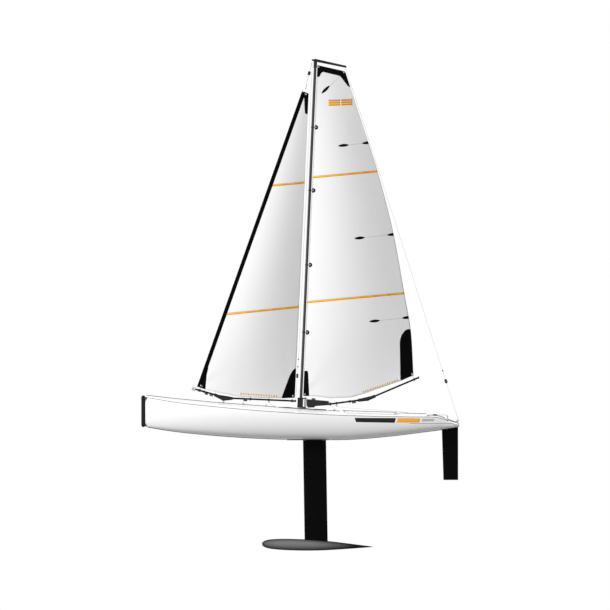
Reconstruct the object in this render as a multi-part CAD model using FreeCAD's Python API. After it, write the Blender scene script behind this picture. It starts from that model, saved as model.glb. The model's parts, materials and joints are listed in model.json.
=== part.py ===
"""A 950 mm radio-controlled racing yacht: hull, keel, rudder, swing rig and radio gear.

Millimetres, +X towards the bow, +Y to port, +Z up. The origin is on the
centreplane at the underside of the hull, amid the root of the keel fin.
Each piece is one node and is written to parts/NODE.step.
"""

import FreeCAD
import Part
import math
import os

V = FreeCAD.Vector
UP = V(0, 0, 1)
FORWARD = V(1, 0, 0)
PORT = V(0, 1, 0)

# Hull: station x, half beam, keel line, sheer line and crown of the deck.
BOW_X = 505.0
TRANSOM_X = -432.0
SHELL = 1.8
DECK = 1.5
STATIONS = [
    (BOW_X, 8.5, 38.0, 126.0, 131.5),
    (470.0, 17.5, 32.3, 119.9, 127.8),
    (420.0, 28.5, 24.5, 111.6, 122.2),
    (350.0, 40.0, 16.8, 103.1, 115.4),
    (270.0, 49.5, 9.8, 95.0, 108.3),
    (180.0, 56.0, 4.3, 87.0, 101.7),
    (90.0, 60.0, 0.9, 80.8, 94.2),
    (0.0, 62.0, 0.0, 75.6, 88.1),
    (-90.0, 62.5, 0.0, 71.7, 83.8),
    (-180.0, 61.5, 5.8, 69.2, 80.6),
    (-270.0, 58.0, 15.2, 67.7, 78.0),
    (-336.0, 53.5, 23.8, 67.2, 76.0),
]
AFT_STATIONS = [
    (-336.0, 53.5, 23.8, 67.2, 71.3),
    (-350.0, 52.3, 25.5, 66.9, 71.5),
    (-363.0, 51.0, 27.2, 65.9, 70.9),
    (-385.0, 48.5, 30.4, 61.2, 65.9),
    (TRANSOM_X, 42.0, 37.4, 48.0, 52.3),
]
DECK_STEP_X = -336.0
DECK_LIFT = 0.15

# Hatch in the raised deck, above the radio gear.
HATCH_FORE_X = -84.0
HATCH_AFT_X = -246.0
HATCH_HALF_WIDTH = 35.0
HATCH_LAP = 5.0
HATCH_CORNER = 12.0

# Keel fin and ballast bulb.
FIN_ROOT_CHORD = 69.0
FIN_ROOT_THICK = 7.0
FIN_TIP_THICK = 5.4
FIN_TIP_Z = -306.0
FIN_TIP_X = -5.0
ROOT_PLATE_THICK = 2.2
KEEL_BOLT_R = 2.0
BULB_NOSE = V(156.8, 0, -311.6)
BULB_TAIL = V(-172.6, 0, -320.5)
BULB_R = 16.6

# Mast, raked aft, and the masthead crane.
MAST_FOOT = V(41.8, 0, 94.0)
MAST_TOP = V(-2.4, 0, 1120.4)
MAST_R = 4.3
MAST_BORE_R = 3.4
RAKE = (MAST_TOP - MAST_FOOT).normalize()
AFT = V(RAKE.z * -1, 0, RAKE.x)
PLATE_THICK = 3.4
PLATE_TOP_Z = 94.2
KEEL_HEAD_Z = 91.4
CRANE_AFT = V(-95.3, 0, 1113.0)
CRANE_FORE = V(8.1, 0, 1132.4)
BURGEE_BORE_R = 1.0
BURGEE_BORE_DEPTH = 10.0
COLLAR_HEIGHTS = [320.0, 521.5, 744.0, 932.5]

# Gooseneck: the main rig turns on a pin behind the mast.
GOOSENECK_OFFSET = 13.5
PIN_R = 1.5
RUNNING_FIT = 0.05
LUFF_OFFSET = 6.4

# Booms are thin tubes joined by cranked fittings.
BOOM_R = 2.65
VANG_TOP_FORE = V(23.6, 0, 120.6)
VANG_TOP_AFT = V(-43.0, 0, 114.9)
ELBOW_R = 4.8
SLIDER_DEPTH = 4.4
MAIN_BOOM_START = V(-36.0, 0, 104.6)
MAIN_BOOM_CRANK_FORE = V(-137.0, 0, 117.8)
MAIN_BOOM_CRANK = V(-158.5, 0, 120.2)
MAIN_BOOM_CRANK_AFT = V(-175.0, 0, 127.3)
MAIN_BOOM_END = V(-312.7, 0, 185.8)
JIB_BOOM_TIP = V(366.0, 0, 153.0)
JIB_BOOM_CRANK_FORE = V(292.1, 0, 132.3)
JIB_BOOM_CRANK = V(272.1, 0, 120.4)
JIB_BOOM_CRANK_AFT = V(251.5, 0, 123.4)
JIB_BOOM_END = V(54.6, 0, 114.8)

# Jib pivot: from the swivel on deck to the fore tip of the crane.
JIB_PIVOT_LOW = V(272.1, 0, 109.3)
JIB_PIVOT_HIGH = V(6.0, 0, 1132.1)
JIB_AXIS = (JIB_PIVOT_HIGH - JIB_PIVOT_LOW).normalize()

# Sails: a film with bonded corner patches.
FILM = 0.5
SAIL_COLUMNS = 9
MAIN_LEECH = [
    V(-295.7, 0, 190.6),
    V(-288.2, 0, 321.1),
    V(-267.3, 0, 443.0),
    V(-233.6, 0, 625.8),
    V(-187.3, 0, 803.5),
    V(-139.5, 0, 951.4),
    V(-91.7, 0, 1100.1),
]
MAIN_LUFF_Z = [129.9, 280.0, 420.0, 615.0, 800.0, 953.0, 1119.0]
MAIN_DEPTH = [0.035, 0.07, 0.085, 0.09, 0.085, 0.07, 0.02]
MAIN_FOOT_SAG = 30.0
JIB_HEAD_LUFF = V(33.5, 0, 1040.0)
JIB_TACK = V(347.7, 0, 156.2)
JIB_HEAD_LEECH = V(17.3, 0, 1033.8)
JIB_CLEW = V(58.8, 0, 124.0)
JIB_ROWS = 7
JIB_DEPTH = 0.085
JIB_FOOT_SAG = 15.0

# Standing and running lines.
LINE_R = 0.4
BACKSTAY_LOW = V(-430.1, 0, 57.0)
BACKSTAY_HIGH = V(-93.6, 0, 1109.3)
LIFT_LOW = V(56.2, 0, 118.6)
LIFT_BEND = V(48.1, 0, 239.3)
LIFT_HIGH = V(6.6, 0, 1121.0)

# Rudder and its linkage, a parallelogram of two equal arms.
STOCK_X = -395.0
STOCK_R = 2.0
RUDDER_TOP_Z = 27.0
RUDDER_BOTTOM_Z = -121.0
ARM_LENGTH = 10.0
TILLER_Z = 67.4
ROD_Z = 73.4
ROD_R = 0.8
SERVO_PIVOT = V(-230.0, -28.0, 0)
SERVO_ARM_Z = 60.0
OPEN_PIVOT_GAP = 0.35

# Sail winch and the endless sheet loop.
WINCH_X = -127.0
DRUM_R = 19.0
DRUM_GROOVE_R = 16.0
DRUM_Z = 52.0
DRUM_HEIGHT = 12.0
SHEAVE_X = -300.0
SHEAVE_R = 6.0
SHEAVE_Z = 56.0
TRAY_Z = 45.0
TRAY_THICK = 2.0

NODES = {}


def node(name, shape):
    """Keep one piece, or a group of identical ones, under its node name."""
    NODES[name] = shape


def box(lo, hi):
    """A box between two corners."""
    return Part.makeBox(hi[0] - lo[0], hi[1] - lo[1], hi[2] - lo[2], V(*lo))


def rod(start, end, radius):
    """A round bar between two points."""
    return Part.makeCylinder(radius, (end - start).Length, start, end - start)


def tube(start, end, outer, bore):
    """A round tube between two points."""
    return rod(start, end, outer).cut(rod(start, end, bore))


def bent_rod(points, radius):
    """A round bar along a chain of points, with a ball at each bend."""
    shape = rod(points[0], points[1], radius)
    for i in range(1, len(points) - 1):
        shape = shape.fuse(Part.makeSphere(radius, points[i]))
        shape = shape.fuse(rod(points[i], points[i + 1], radius))
    return shape.removeSplitter()


def group(shapes):
    """Separate solids that share one node."""
    return Part.makeCompound(shapes)


def prism_y(outline, half_width):
    """An outline in the XZ plane, given width to both sides of the centreplane."""
    points = [V(x, -half_width, z) for x, z in outline]
    face = Part.Face(Part.makePolygon(points + [points[0]]))
    return face.extrude(V(0, 2 * half_width, 0))


def rounded_box(lo, hi, radius, direction):
    """A box whose edges along one direction are rounded."""
    shape = box(lo, hi)
    edges = [e for e in shape.Edges if abs(e.tangentAt(e.FirstParameter).dot(direction)) > 0.9]
    return shape.makeFillet(radius, edges)


def spline(poles):
    """A cubic curve that follows its poles."""
    curve = Part.BSplineCurve()
    curve.buildFromPoles(poles, False, 3)
    return curve.toShape()


def hull_section(station, inset, rise):
    """A closed U section of the hull, drawn in by the inset and open by the rise."""
    x, half, keel, sheer = station[:4]
    half = half - inset
    keel = keel + inset
    top = sheer + rise
    depth = sheer - keel
    right = [
        V(x, half, top),
        V(x, half, sheer - 0.42 * depth),
        V(x, 0.97 * half, keel + 0.13 * depth),
        V(x, 0.62 * half, keel),
    ]
    left = [V(p.x, -p.y, p.z) for p in reversed(right)]
    outline = spline(right + [V(x, 0, keel)] + left)
    return Part.Wire([outline, Part.makeLine(left[-1], right[0])])


def hull_body(inset, rise):
    """The solid hull, or with an inset the space inside it."""
    stations = STATIONS + AFT_STATIONS[1:]
    if inset:
        first = (BOW_X - 2 * inset,) + stations[0][1:]
        last = (TRANSOM_X + inset,) + stations[-1][1:]
        stations = [first] + stations[1:-1] + [last]
    return Part.makeLoft([hull_section(s, inset, rise) for s in stations], True, False)


def deck_section(station, lift, thick, edge):
    """A thin arched section of the deck from side to side."""
    x, half, _, sheer, crown = station
    half = half - edge
    outer = Part.Arc(V(x, half, sheer + lift), V(x, 0, crown + lift), V(x, -half, sheer + lift))
    inner_half = half - thick
    low = sheer + lift
    high = crown + lift - thick
    inner = Part.Arc(V(x, -inner_half, low), V(x, 0, high), V(x, inner_half, low))
    right = Part.makeLine(V(x, inner_half, low), V(x, half, low))
    left = Part.makeLine(V(x, -half, low), V(x, -inner_half, low))
    return Part.Wire([outer.toShape(), left, inner.toShape(), right])


def deck_skin(stations, lift, thick, edge):
    """The deck's arched skin through the given stations."""
    sections = [deck_section(s, lift, thick, edge) for s in stations]
    return Part.makeLoft(sections, True, False)


def arch_face(x, half, sheer, crown):
    """A flat face across the boat, under an arch from side to side."""
    arch = Part.Arc(V(x, half, sheer), V(x, 0, crown), V(x, -half, sheer)).toShape()
    base = Part.makeLine(V(x, -half, sheer), V(x, half, sheer))
    return Part.Face(Part.Wire([arch, base]))


def step_wall():
    """The low wall that closes the raised deck at its aft end."""
    x, half, _, sheer, crown = STATIONS[-1]
    low_crown = AFT_STATIONS[0][-1]
    wall = arch_face(x, half - 0.3, sheer, crown - 0.5 * DECK).extrude(V(DECK, 0, 0))
    under = arch_face(x - 1, half + 4, sheer - 1.5, low_crown - 0.5 * DECK)
    return wall.cut(under.extrude(V(DECK + 2, 0, 0)))


def deck_height(x, y):
    """How high the deck's top surface is at a place."""
    rows = STATIONS if x >= DECK_STEP_X else AFT_STATIONS
    for fore, aft in zip(rows, rows[1:]):
        if fore[0] >= x >= aft[0]:
            t = (fore[0] - x) / (fore[0] - aft[0])
            half, _, sheer, crown = [a + t * (b - a) for a, b in zip(fore[1:], aft[1:])]
            return crown - (crown - sheer) * (y / half) ** 2
    raise ValueError(x)


def foil(chord, thick, lead_x, z):
    """A closed symmetrical foil section, level, with its nose at lead_x."""
    right = [
        V(lead_x, 0, z),
        V(lead_x, 0.42 * thick, z),
        V(lead_x - 0.22 * chord, 0.60 * thick, z),
        V(lead_x - 0.60 * chord, 0.45 * thick, z),
        V(lead_x - chord, 0.35, z),
    ]
    left = [V(p.x, -p.y, p.z) for p in reversed(right)]
    return Part.Wire([spline(right), Part.makeLine(right[-1], left[0]), spline(left)])


def sheet_solid(rows, thick):
    """A thin closed sheet through rows of points, thick along Y."""
    faces = []
    for side in (0.5, -0.5):
        surface = Part.BSplineSurface()
        surface.interpolate([[p + V(0, side * thick, 0) for p in row] for row in rows])
        faces.append(surface.toShape())
    edges = [
        Part.makeRuledSurface(a, b) for a, b in zip(faces[0].Edges, faces[1].Edges)
    ]
    shell = Part.makeShell(faces + edges)
    shell.sewShape()
    solid = Part.makeSolid(shell)
    if solid.Volume < 0:
        solid.reverse()
    return solid


def camber(u):
    """The share of a sail's depth at a place along its chord, 0 at both ends."""
    return math.sin(math.pi * u ** 0.82)


def sail_row(luff, leech, depth, sag):
    """Points from luff to leech, bellied to port, with the middle hanging by the sag."""
    chord = (leech - luff).Length
    row = []
    for column in range(SAIL_COLUMNS):
        u = column / (SAIL_COLUMNS - 1)
        drop = sag * math.sin(math.pi * u)
        row.append(luff + (leech - luff) * u + V(0, depth * chord * camber(u), -drop))
    return row


def mast_point(z, aft=0.0):
    """The point of the mast's axis at a height, moved aft square to the mast."""
    t = (z - MAST_FOOT.z) / RAKE.z
    return MAST_FOOT + RAKE * t + AFT * aft


# ---------------------------------------------------------------- hull and deck


def hull_nodes():
    shell = hull_body(0, 0).cut(hull_body(SHELL, 6.0))
    shell = shell.cut(box((-27, -4, -5), (27, 4, 6)))
    shell = shell.cut(rod(V(STOCK_X, 0, 20), V(STOCK_X, 0, 60), 3.6))
    node("hull_shell", shell)
    hatch = rounded_box(
        (HATCH_AFT_X, -HATCH_HALF_WIDTH, 60), (HATCH_FORE_X, HATCH_HALF_WIDTH, 100),
        HATCH_CORNER, UP,
    )
    deck = deck_skin(STATIONS, DECK_LIFT, DECK, 0)
    wall = step_wall().translated(V(0, 0, DECK_LIFT))
    aft_rows = [(DECK_STEP_X + DECK,) + AFT_STATIONS[0][1:]] + AFT_STATIONS[1:]
    deck = deck.fuse([wall, deck_skin(aft_rows, DECK_LIFT, DECK, 0.05)])
    deck = deck.cut(hatch)
    deck = deck.cut(rod(V(0, 0, 70), V(0, 0, 95), KEEL_BOLT_R + RUNNING_FIT))
    deck = deck.cut(rod(V(STOCK_X, 0, 50), V(STOCK_X, 0, 80), 3.6))
    slot = box((DECK_STEP_X - 3, -11.6, ROD_Z - 1.2), (DECK_STEP_X + 22, -6.6, ROD_Z + 1.2))
    deck = deck.cut(slot)
    for x in (118.0, -278.7):
        deck = deck.cut(rod(V(x, 0, 60), V(x, 0, 110), 2.05))
    node("deck", deck)
    bumper = rounded_box((BOW_X + 0.1, -8.2, 36.9), (517.6, 8.2, 131.7), 6.0, PORT)
    bumper = bumper.makeFillet(3.0, [e for e in bumper.Edges if e.BoundBox.XMin > 517.5])
    node("bow_bumper", bumper)
    lo = (HATCH_AFT_X - HATCH_LAP, -HATCH_HALF_WIDTH - HATCH_LAP, 60)
    hi = (HATCH_FORE_X + HATCH_LAP, HATCH_HALF_WIDTH + HATCH_LAP, 100)
    lid = deck_skin(STATIONS[7:], 1.85, 1.4, -2.0)
    lid = lid.common(rounded_box(lo, hi, HATCH_CORNER + HATCH_LAP, UP))
    rim_lo = (HATCH_AFT_X + 1, -HATCH_HALF_WIDTH + 1, 60)
    rim_hi = (HATCH_FORE_X - 1, HATCH_HALF_WIDTH - 1, 100)
    rim = rounded_box(rim_lo, rim_hi, HATCH_CORNER - 1, UP)
    core_lo = (rim_lo[0] + 1.5, rim_lo[1] + 1.5, 60)
    core_hi = (rim_hi[0] - 1.5, rim_hi[1] - 1.5, 100)
    rim = rim.cut(rounded_box(core_lo, core_hi, HATCH_CORNER - 2.5, UP))
    rim = rim.common(deck_skin(STATIONS[7:], 1.2, 5.0, -2.0))
    node("hatch_cover", lid.fuse(rim).removeSplitter())


def deck_fittings():
    bases = []
    for x in (272.1, 212.7, 144.0, -59.4, BACKSTAY_LOW.x + 3.0):
        top = deck_height(x, 0) + 0.4
        foot = Part.makeCylinder(3.4, 1.2, V(x, 0, top))
        ring = Part.makeTorus(2.0, 0.6, V(x, 0, top + 2.9), PORT)
        bases.append(foot.fuse(ring))
    for x in (118.0, -278.7):
        top = deck_height(x, 0) + 0.4
        flange = Part.makeCylinder(3.4, 1.4, V(x, 0, top))
        stem = Part.makeCylinder(2.0, 7.0, V(x, 0, top - 7.0))
        bases.append(flange.fuse(stem).cut(Part.makeCylinder(1.2, 12, V(x, 0, top - 8))))
    node("deck_fittings", group(bases))
    boot = rounded_box(
        (DECK_STEP_X - 30, -13.4, ROD_Z - 0.7), (DECK_STEP_X - 18, -4.8, ROD_Z + 2.4), 1.3, FORWARD
    )
    grooves = [
        rounded_box((x, -14, 60), (x + 1.2, -4, 90), 0.3, UP).cut(
            box((x - 1, -12.7, 60), (x + 3, -5.5, ROD_Z + 1.7))
        )
        for x in (DECK_STEP_X - 28, DECK_STEP_X - 25, DECK_STEP_X - 22)
    ]
    for groove in grooves:
        boot = boot.cut(groove)
    boot = boot.cut(box((DECK_STEP_X - 40, -11.6, 60), (DECK_STEP_X, -6.6, ROD_Z + 1.3)))
    node("pushrod_boot", boot)


# ------------------------------------------------------------------ keel


def keel_nodes():
    head = box((-25, -2.6, -3), (25, 2.6, 42))
    fin = Part.makeLoft(
        [
            foil(FIN_ROOT_CHORD, FIN_ROOT_THICK, FIN_ROOT_CHORD / 2, -ROOT_PLATE_THICK - 0.1),
            foil(FIN_ROOT_CHORD, FIN_TIP_THICK, FIN_TIP_X + FIN_ROOT_CHORD / 2, FIN_TIP_Z),
        ],
        True, True,
    )
    fin = fin.fuse(head).removeSplitter()
    bolt_hole = rod(V(0, 0, 18), V(0, 0, 45), KEEL_BOLT_R + RUNNING_FIT)
    screw_hole = rod(V(0, 0, -320), V(0, 0, -280), 1.55)
    fin = fin.cut(bolt_hole).cut(screw_hole)
    plate = rounded_box((-46.9, -11, -ROOT_PLATE_THICK), (83.6, 11, 0.4), 10.9, UP)
    plate = plate.cut(box((-25.2, -2.8, -5), (25.2, 2.8, 5))).cut(hull_body(0, 0))
    node("keel_root_plate", plate)
    trunk = box((-28, -5.4, 5.0), (28, 5.4, 84.4)).cut(box((-25.3, -2.9, 0), (25.3, 2.9, 76)))
    trunk = trunk.cut(rod(V(0, 0, 70), V(0, 0, 95), KEEL_BOLT_R + RUNNING_FIT))
    node("keel_trunk", trunk)
    bolt = rod(V(0, 0, 20), V(0, 0, KEEL_HEAD_Z - 2.0), KEEL_BOLT_R)
    head = Part.makeCone(KEEL_BOLT_R, 3.8, 2.0, V(0, 0, KEEL_HEAD_Z - 2.0))
    head = head.cut(box((-3.2, -0.5, KEEL_HEAD_Z - 0.9), (3.2, 0.5, KEEL_HEAD_Z + 1)))
    bolt = bolt.fuse(head).removeSplitter()
    bulb = ballast_bulb()
    screw = Part.makeCylinder(1.5, 30, V(0, 0, -324)).fuse(
        Part.makeCylinder(3.0, 3.0, V(0, 0, -327))
    )
    screw = screw.cut(box((-0.5, -4, -328), (0.5, 4, -326)))
    bulb = bulb.cut(fin)
    bulb = bulb.cut(Part.makeCylinder(1.55, 60, V(0, 0, -340)))
    bulb = bulb.cut(Part.makeCylinder(3.1, 16, V(0, 0, -340)))
    node("keel_fin", fin)
    node("ballast_bulb", bulb)
    node("keel_screws", group([bolt, screw.removeSplitter()]))


def ballast_bulb():
    """A torpedo of lead, round, with a blunt nose and a pointed tail."""
    length = (BULB_TAIL - BULB_NOSE).Length
    profile = [
        V(0, 0, 0),
        V(0, 0, 0.62 * BULB_R),
        V(0.10 * length, 0, 1.02 * BULB_R),
        V(0.34 * length, 0, 1.06 * BULB_R),
        V(0.56 * length, 0, 0.94 * BULB_R),
        V(0.80 * length, 0, 0.46 * BULB_R),
        V(length, 0, 0.8),
    ]
    end = Part.makeLine(profile[-1], V(length, 0, 0))
    axis = Part.makeLine(V(length, 0, 0), V(0, 0, 0))
    half = Part.Face(Part.Wire([spline(profile), end, axis]))
    solid = half.revolve(V(0, 0, 0), FORWARD, 360)
    turn = FreeCAD.Rotation(FORWARD, BULB_TAIL - BULB_NOSE)
    solid.Placement = FreeCAD.Placement(BULB_NOSE, turn)
    return solid


# ------------------------------------------------------------------ mast


def mast_nodes():
    plate = mast_plate()
    node("mast_base_plate", plate)
    node("mast_tube", tube(mast_point(PLATE_TOP_Z + 0.8), MAST_TOP, MAST_R, MAST_BORE_R))
    low = mast_point(PLATE_TOP_Z + 0.4)
    high = mast_point(125.0)
    block = box((-6.8, -6.5, 0), (6.8, 6.5, (high - low).Length))
    upper = lug(26.8, 30.4)
    lower = lug(0.2, 3.9)
    block = block.fuse(upper).fuse(lower)
    block = placed_on_mast(block, low)
    block = block.cut(rod(MAST_FOOT, MAST_TOP, MAST_R + 0.03))
    block = block.cut(rod(pin_point(80), pin_point(140), PIN_R))
    block = block.removeSplitter()
    node("mast_foot", block)
    pin = rod(pin_point(PLATE_TOP_Z + 0.8), pin_point(125.6), PIN_R)
    cap = rod(pin_point(125.7), pin_point(127.2), 2.6)
    node("gooseneck_pin", pin.fuse(cap.fuse(rod(pin_point(125.5), pin_point(125.8), PIN_R))))
    collars = []
    for z in COLLAR_HEIGHTS:
        collars.append(tube(mast_point(z - 1.6), mast_point(z + 1.6), 5.2, MAST_R))
    node("mast_collars", group(collars))
    masthead_nodes()


def mast_plate():
    """The plate that spreads the mast's load on the deck and takes the keel bolt."""
    places = [-37.3, -33.0, 0.0, 32.0, 52.0, 80.0, 96.0, 111.0]
    low = [(x, deck_height(x, 0) + 0.4) for x in places]
    high = [
        (111.0, deck_height(111.0, 0) + 1.4), (80.0, deck_height(80.0, 0) + PLATE_THICK),
        (52.0, PLATE_TOP_Z), (32.0, PLATE_TOP_Z), (6.0, KEEL_HEAD_Z), (-6.0, KEEL_HEAD_Z),
        (-33.0, deck_height(-33.0, 0) + PLATE_THICK), (-37.3, deck_height(-37.3, 0) + 1.0),
    ]
    plate = prism_y(low + high, 9.0)
    plate = plate.cut(Part.makeCylinder(KEEL_BOLT_R + RUNNING_FIT, 30, V(0, 0, 70)))
    seat = Part.makeCone(KEEL_BOLT_R + RUNNING_FIT, 3.9, 2.0, V(0, 0, KEEL_HEAD_Z - 2.0))
    return plate.cut(seat)


def lug(low, high):
    """A tongue from the mast foot to the gooseneck pin, in the mast's own frame."""
    tongue = box((-GOOSENECK_OFFSET, -3.2, low), (0, 3.2, high))
    return tongue.fuse(Part.makeCylinder(3.2, high - low, V(-GOOSENECK_OFFSET, 0, low)))


def placed_on_mast(shape, origin):
    """Turn a shape drawn about +Z so that it stands on the mast's axis."""
    shape.Placement = FreeCAD.Placement(origin, FreeCAD.Rotation(UP, RAKE))
    return shape


def pin_point(z):
    """The point of the gooseneck pin's axis at a height."""
    return mast_point(z, GOOSENECK_OFFSET)


def masthead_nodes():
    cap = rod(MAST_TOP - RAKE * 10, MAST_TOP + RAKE * 9, 5.2)
    cap = cap.cut(rod(MAST_FOOT, MAST_TOP, MAST_R))
    bar = prism_y(
        [
            (CRANE_FORE.x, CRANE_FORE.z + 3.4),
            (MAST_TOP.x - 5, 1136.0),
            (CRANE_AFT.x, CRANE_AFT.z + 3.2),
            (CRANE_AFT.x, CRANE_AFT.z - 3.2),
            (MAST_TOP.x - 5, 1127.4),
            (CRANE_FORE.x, CRANE_FORE.z - 1.0),
        ],
        2.2,
    )
    crane = cap.fuse(bar)
    socket = Part.makeCylinder(3.0, 6.0, V(MAST_TOP.x, 0, 1131))
    crane = crane.fuse(socket).removeSplitter()
    bore = Part.makeCylinder(
        BURGEE_BORE_R, BURGEE_BORE_DEPTH, V(MAST_TOP.x, 0, 1137 - BURGEE_BORE_DEPTH)
    )
    node("masthead_crane", crane.cut(bore))
    line = rod(BACKSTAY_LOW, BACKSTAY_HIGH, LINE_R)
    knot = line_point(BACKSTAY_LOW, BACKSTAY_HIGH, 205.3)
    node("backstay", group([line, Part.makeSphere(2.2, knot).cut(line)]))
    bowsie = bowsie_on(BACKSTAY_LOW, BACKSTAY_HIGH, 174.2, 4.2)
    node("backstay_bowsie", bowsie)


def line_point(low, high, z):
    """The point of a line at a height."""
    return low + (high - low) * ((z - low.z) / (high.z - low.z))


def bowsie_on(low, high, z, half_width):
    """A flat three-holed slider on a line, as sailors use to tension it."""
    body = rounded_box((-half_width, -1.6, -6.5), (half_width, 1.6, 6.5), 0.9 * half_width, PORT)
    body = body.cut(Part.makeCylinder(LINE_R + RUNNING_FIT, 20, V(0, 0, -10)))
    for place in (-0.6 * half_width, 0.6 * half_width):
        hole = Part.makeCylinder(0.6, 10, V(place, -5, 0), PORT)
        body = body.cut(hole)
    centre = line_point(low, high, z)
    body.Placement = FreeCAD.Placement(centre, FreeCAD.Rotation(UP, high - low))
    return body


# ------------------------------------------------------------------ main rig


def main_rig_nodes():
    sleeve = tube(pin_point(99.0), pin_point(120.4), 3.15, PIN_R + RUNNING_FIT)
    node("gooseneck_sleeve", sleeve)
    vang = prism_y(
        [
            (VANG_TOP_FORE.x, VANG_TOP_FORE.z), (VANG_TOP_AFT.x, VANG_TOP_AFT.z), (-43.0, 102.6),
            (-3.0, 99.6), (1.5, 95.4), (21.2, 95.2), (21.2, 99.4), (23.6, 99.4),
        ],
        3.9,
    )
    fore_tube = rod(MAIN_BOOM_START, MAIN_BOOM_CRANK_FORE, BOOM_R)
    vang = vang.cut(fore_tube).cut(rod(pin_point(90), pin_point(130), 3.15))
    node("boom_vang", vang)
    tubes = [tube(MAIN_BOOM_START, MAIN_BOOM_CRANK_FORE, BOOM_R, 1.9)]
    elbow = elbow_on(
        MAIN_BOOM_START, MAIN_BOOM_CRANK_FORE, MAIN_BOOM_CRANK, MAIN_BOOM_CRANK_AFT, MAIN_BOOM_END
    )
    node("main_boom_elbow", elbow)
    along = (MAIN_BOOM_END - MAIN_BOOM_CRANK_AFT).normalize()
    tubes.append(tube(MAIN_BOOM_CRANK_AFT, MAIN_BOOM_END - along * 5.1, BOOM_R, 1.9))
    node("main_boom_tubes", group(tubes))
    cap = rod(MAIN_BOOM_END - along * 5, MAIN_BOOM_END, 3.2)
    node("main_boom_end_cap", cap)
    fore = (MAIN_BOOM_CRANK_FORE - MAIN_BOOM_START).normalize()
    rings = []
    for x, length, radius in ((-64.5, 3.4, 4.1), (-103.5, 4.6, 4.1), (-44.0, 5.4, 4.8)):
        centre = on_boom(MAIN_BOOM_START, fore, x)
        rings.append(tube(centre, centre + fore * length, radius, BOOM_R))
    clew = MAIN_BOOM_END - along * 18
    rings.append(tube(clew, clew + along * 4.0, 4.0, BOOM_R))
    eye = Part.makeTorus(2.0, 0.6, V(-66.0, 0, 101.5), PORT)
    rings[0] = rings[0].fuse(eye.cut(fore_tube))
    rings.append(slider_beside(on_boom(MAIN_BOOM_START, fore, -111.5), fore, 12.0, -BOOM_R))
    slope = (VANG_TOP_AFT - VANG_TOP_FORE).normalize()
    rings.append(slider_beside(on_boom(VANG_TOP_FORE, slope, 9.0), slope, 12.0, 0.0))
    node("main_boom_rings", group(rings))
    node("mainsail", mainsail())
    eyelets = []
    for z in COLLAR_HEIGHTS:
        centre = mast_point(z, 10.2)
        eyelets.append(tube(centre - V(0, 3.2, 0), centre - V(0, 0.45, 0), 2.3, 1.2))
    node("main_luff_eyelets", group(eyelets))
    node("main_sheet", main_sheet())


def on_boom(start, along, x):
    """The point of a straight spar at a given distance forward."""
    return start + along * ((x - start.x) / along.x)


def slider_beside(point, along, length, offset):
    """A flat two-holed cord slider that lies beside a spar, below it for a negative offset."""
    side = -1 if offset < 0 else 1
    body = rounded_box((-SLIDER_DEPTH / 2, -1.6, 0), (SLIDER_DEPTH / 2, 1.6, length), 1.1, PORT)
    for share in (0.25, 0.75):
        body = body.cut(Part.makeCylinder(0.6, 10, V(0, -5, share * length), PORT))
    out = V(-along.z, 0, along.x).normalize()
    out = out * (side if out.z > 0 else -side)
    place = point + out * (abs(offset) + SLIDER_DEPTH / 2 + 0.1)
    body.Placement = FreeCAD.Placement(place, FreeCAD.Rotation(UP, along))
    return body


def elbow_on(start, fore, middle, aft, end):
    """A cranked fitting that grips the ends of two tubes."""
    grip_fore = fore + (start - fore).normalize() * 7
    grip_aft = aft + (end - aft).normalize() * 7
    body = bent_rod([grip_fore, middle, grip_aft], ELBOW_R)
    web = Part.makeSphere(ELBOW_R + 0.5, middle)
    body = body.fuse(web).removeSplitter()
    return body.cut(rod(start, fore, BOOM_R)).cut(rod(aft, end, BOOM_R))


def mainsail():
    """The mainsail, from the foot up, with a cranked foot above the boom."""
    rows = []
    for luff_z, leech, depth in zip(MAIN_LUFF_Z, MAIN_LEECH, MAIN_DEPTH):
        sag = MAIN_FOOT_SAG if leech is MAIN_LEECH[0] else 0.0
        rows.append(sail_row(mast_point(luff_z, LUFF_OFFSET), leech, depth, sag))
    return sheet_solid(rows, FILM)


def main_sheet():
    """The main sheet, from the boom's ring aft along the deck to its fairlead."""
    points = [V(-66.0, 0, 98.2), V(-76.0, 0, 96.4), V(-216.6, 0, 86.6), V(-277.5, 0, 80.9)]
    return bent_rod(points + [V(-278.7, 0, 79.0), V(-278.7, 0, 73.0)], LINE_R)


# ------------------------------------------------------------------ jib rig


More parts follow.
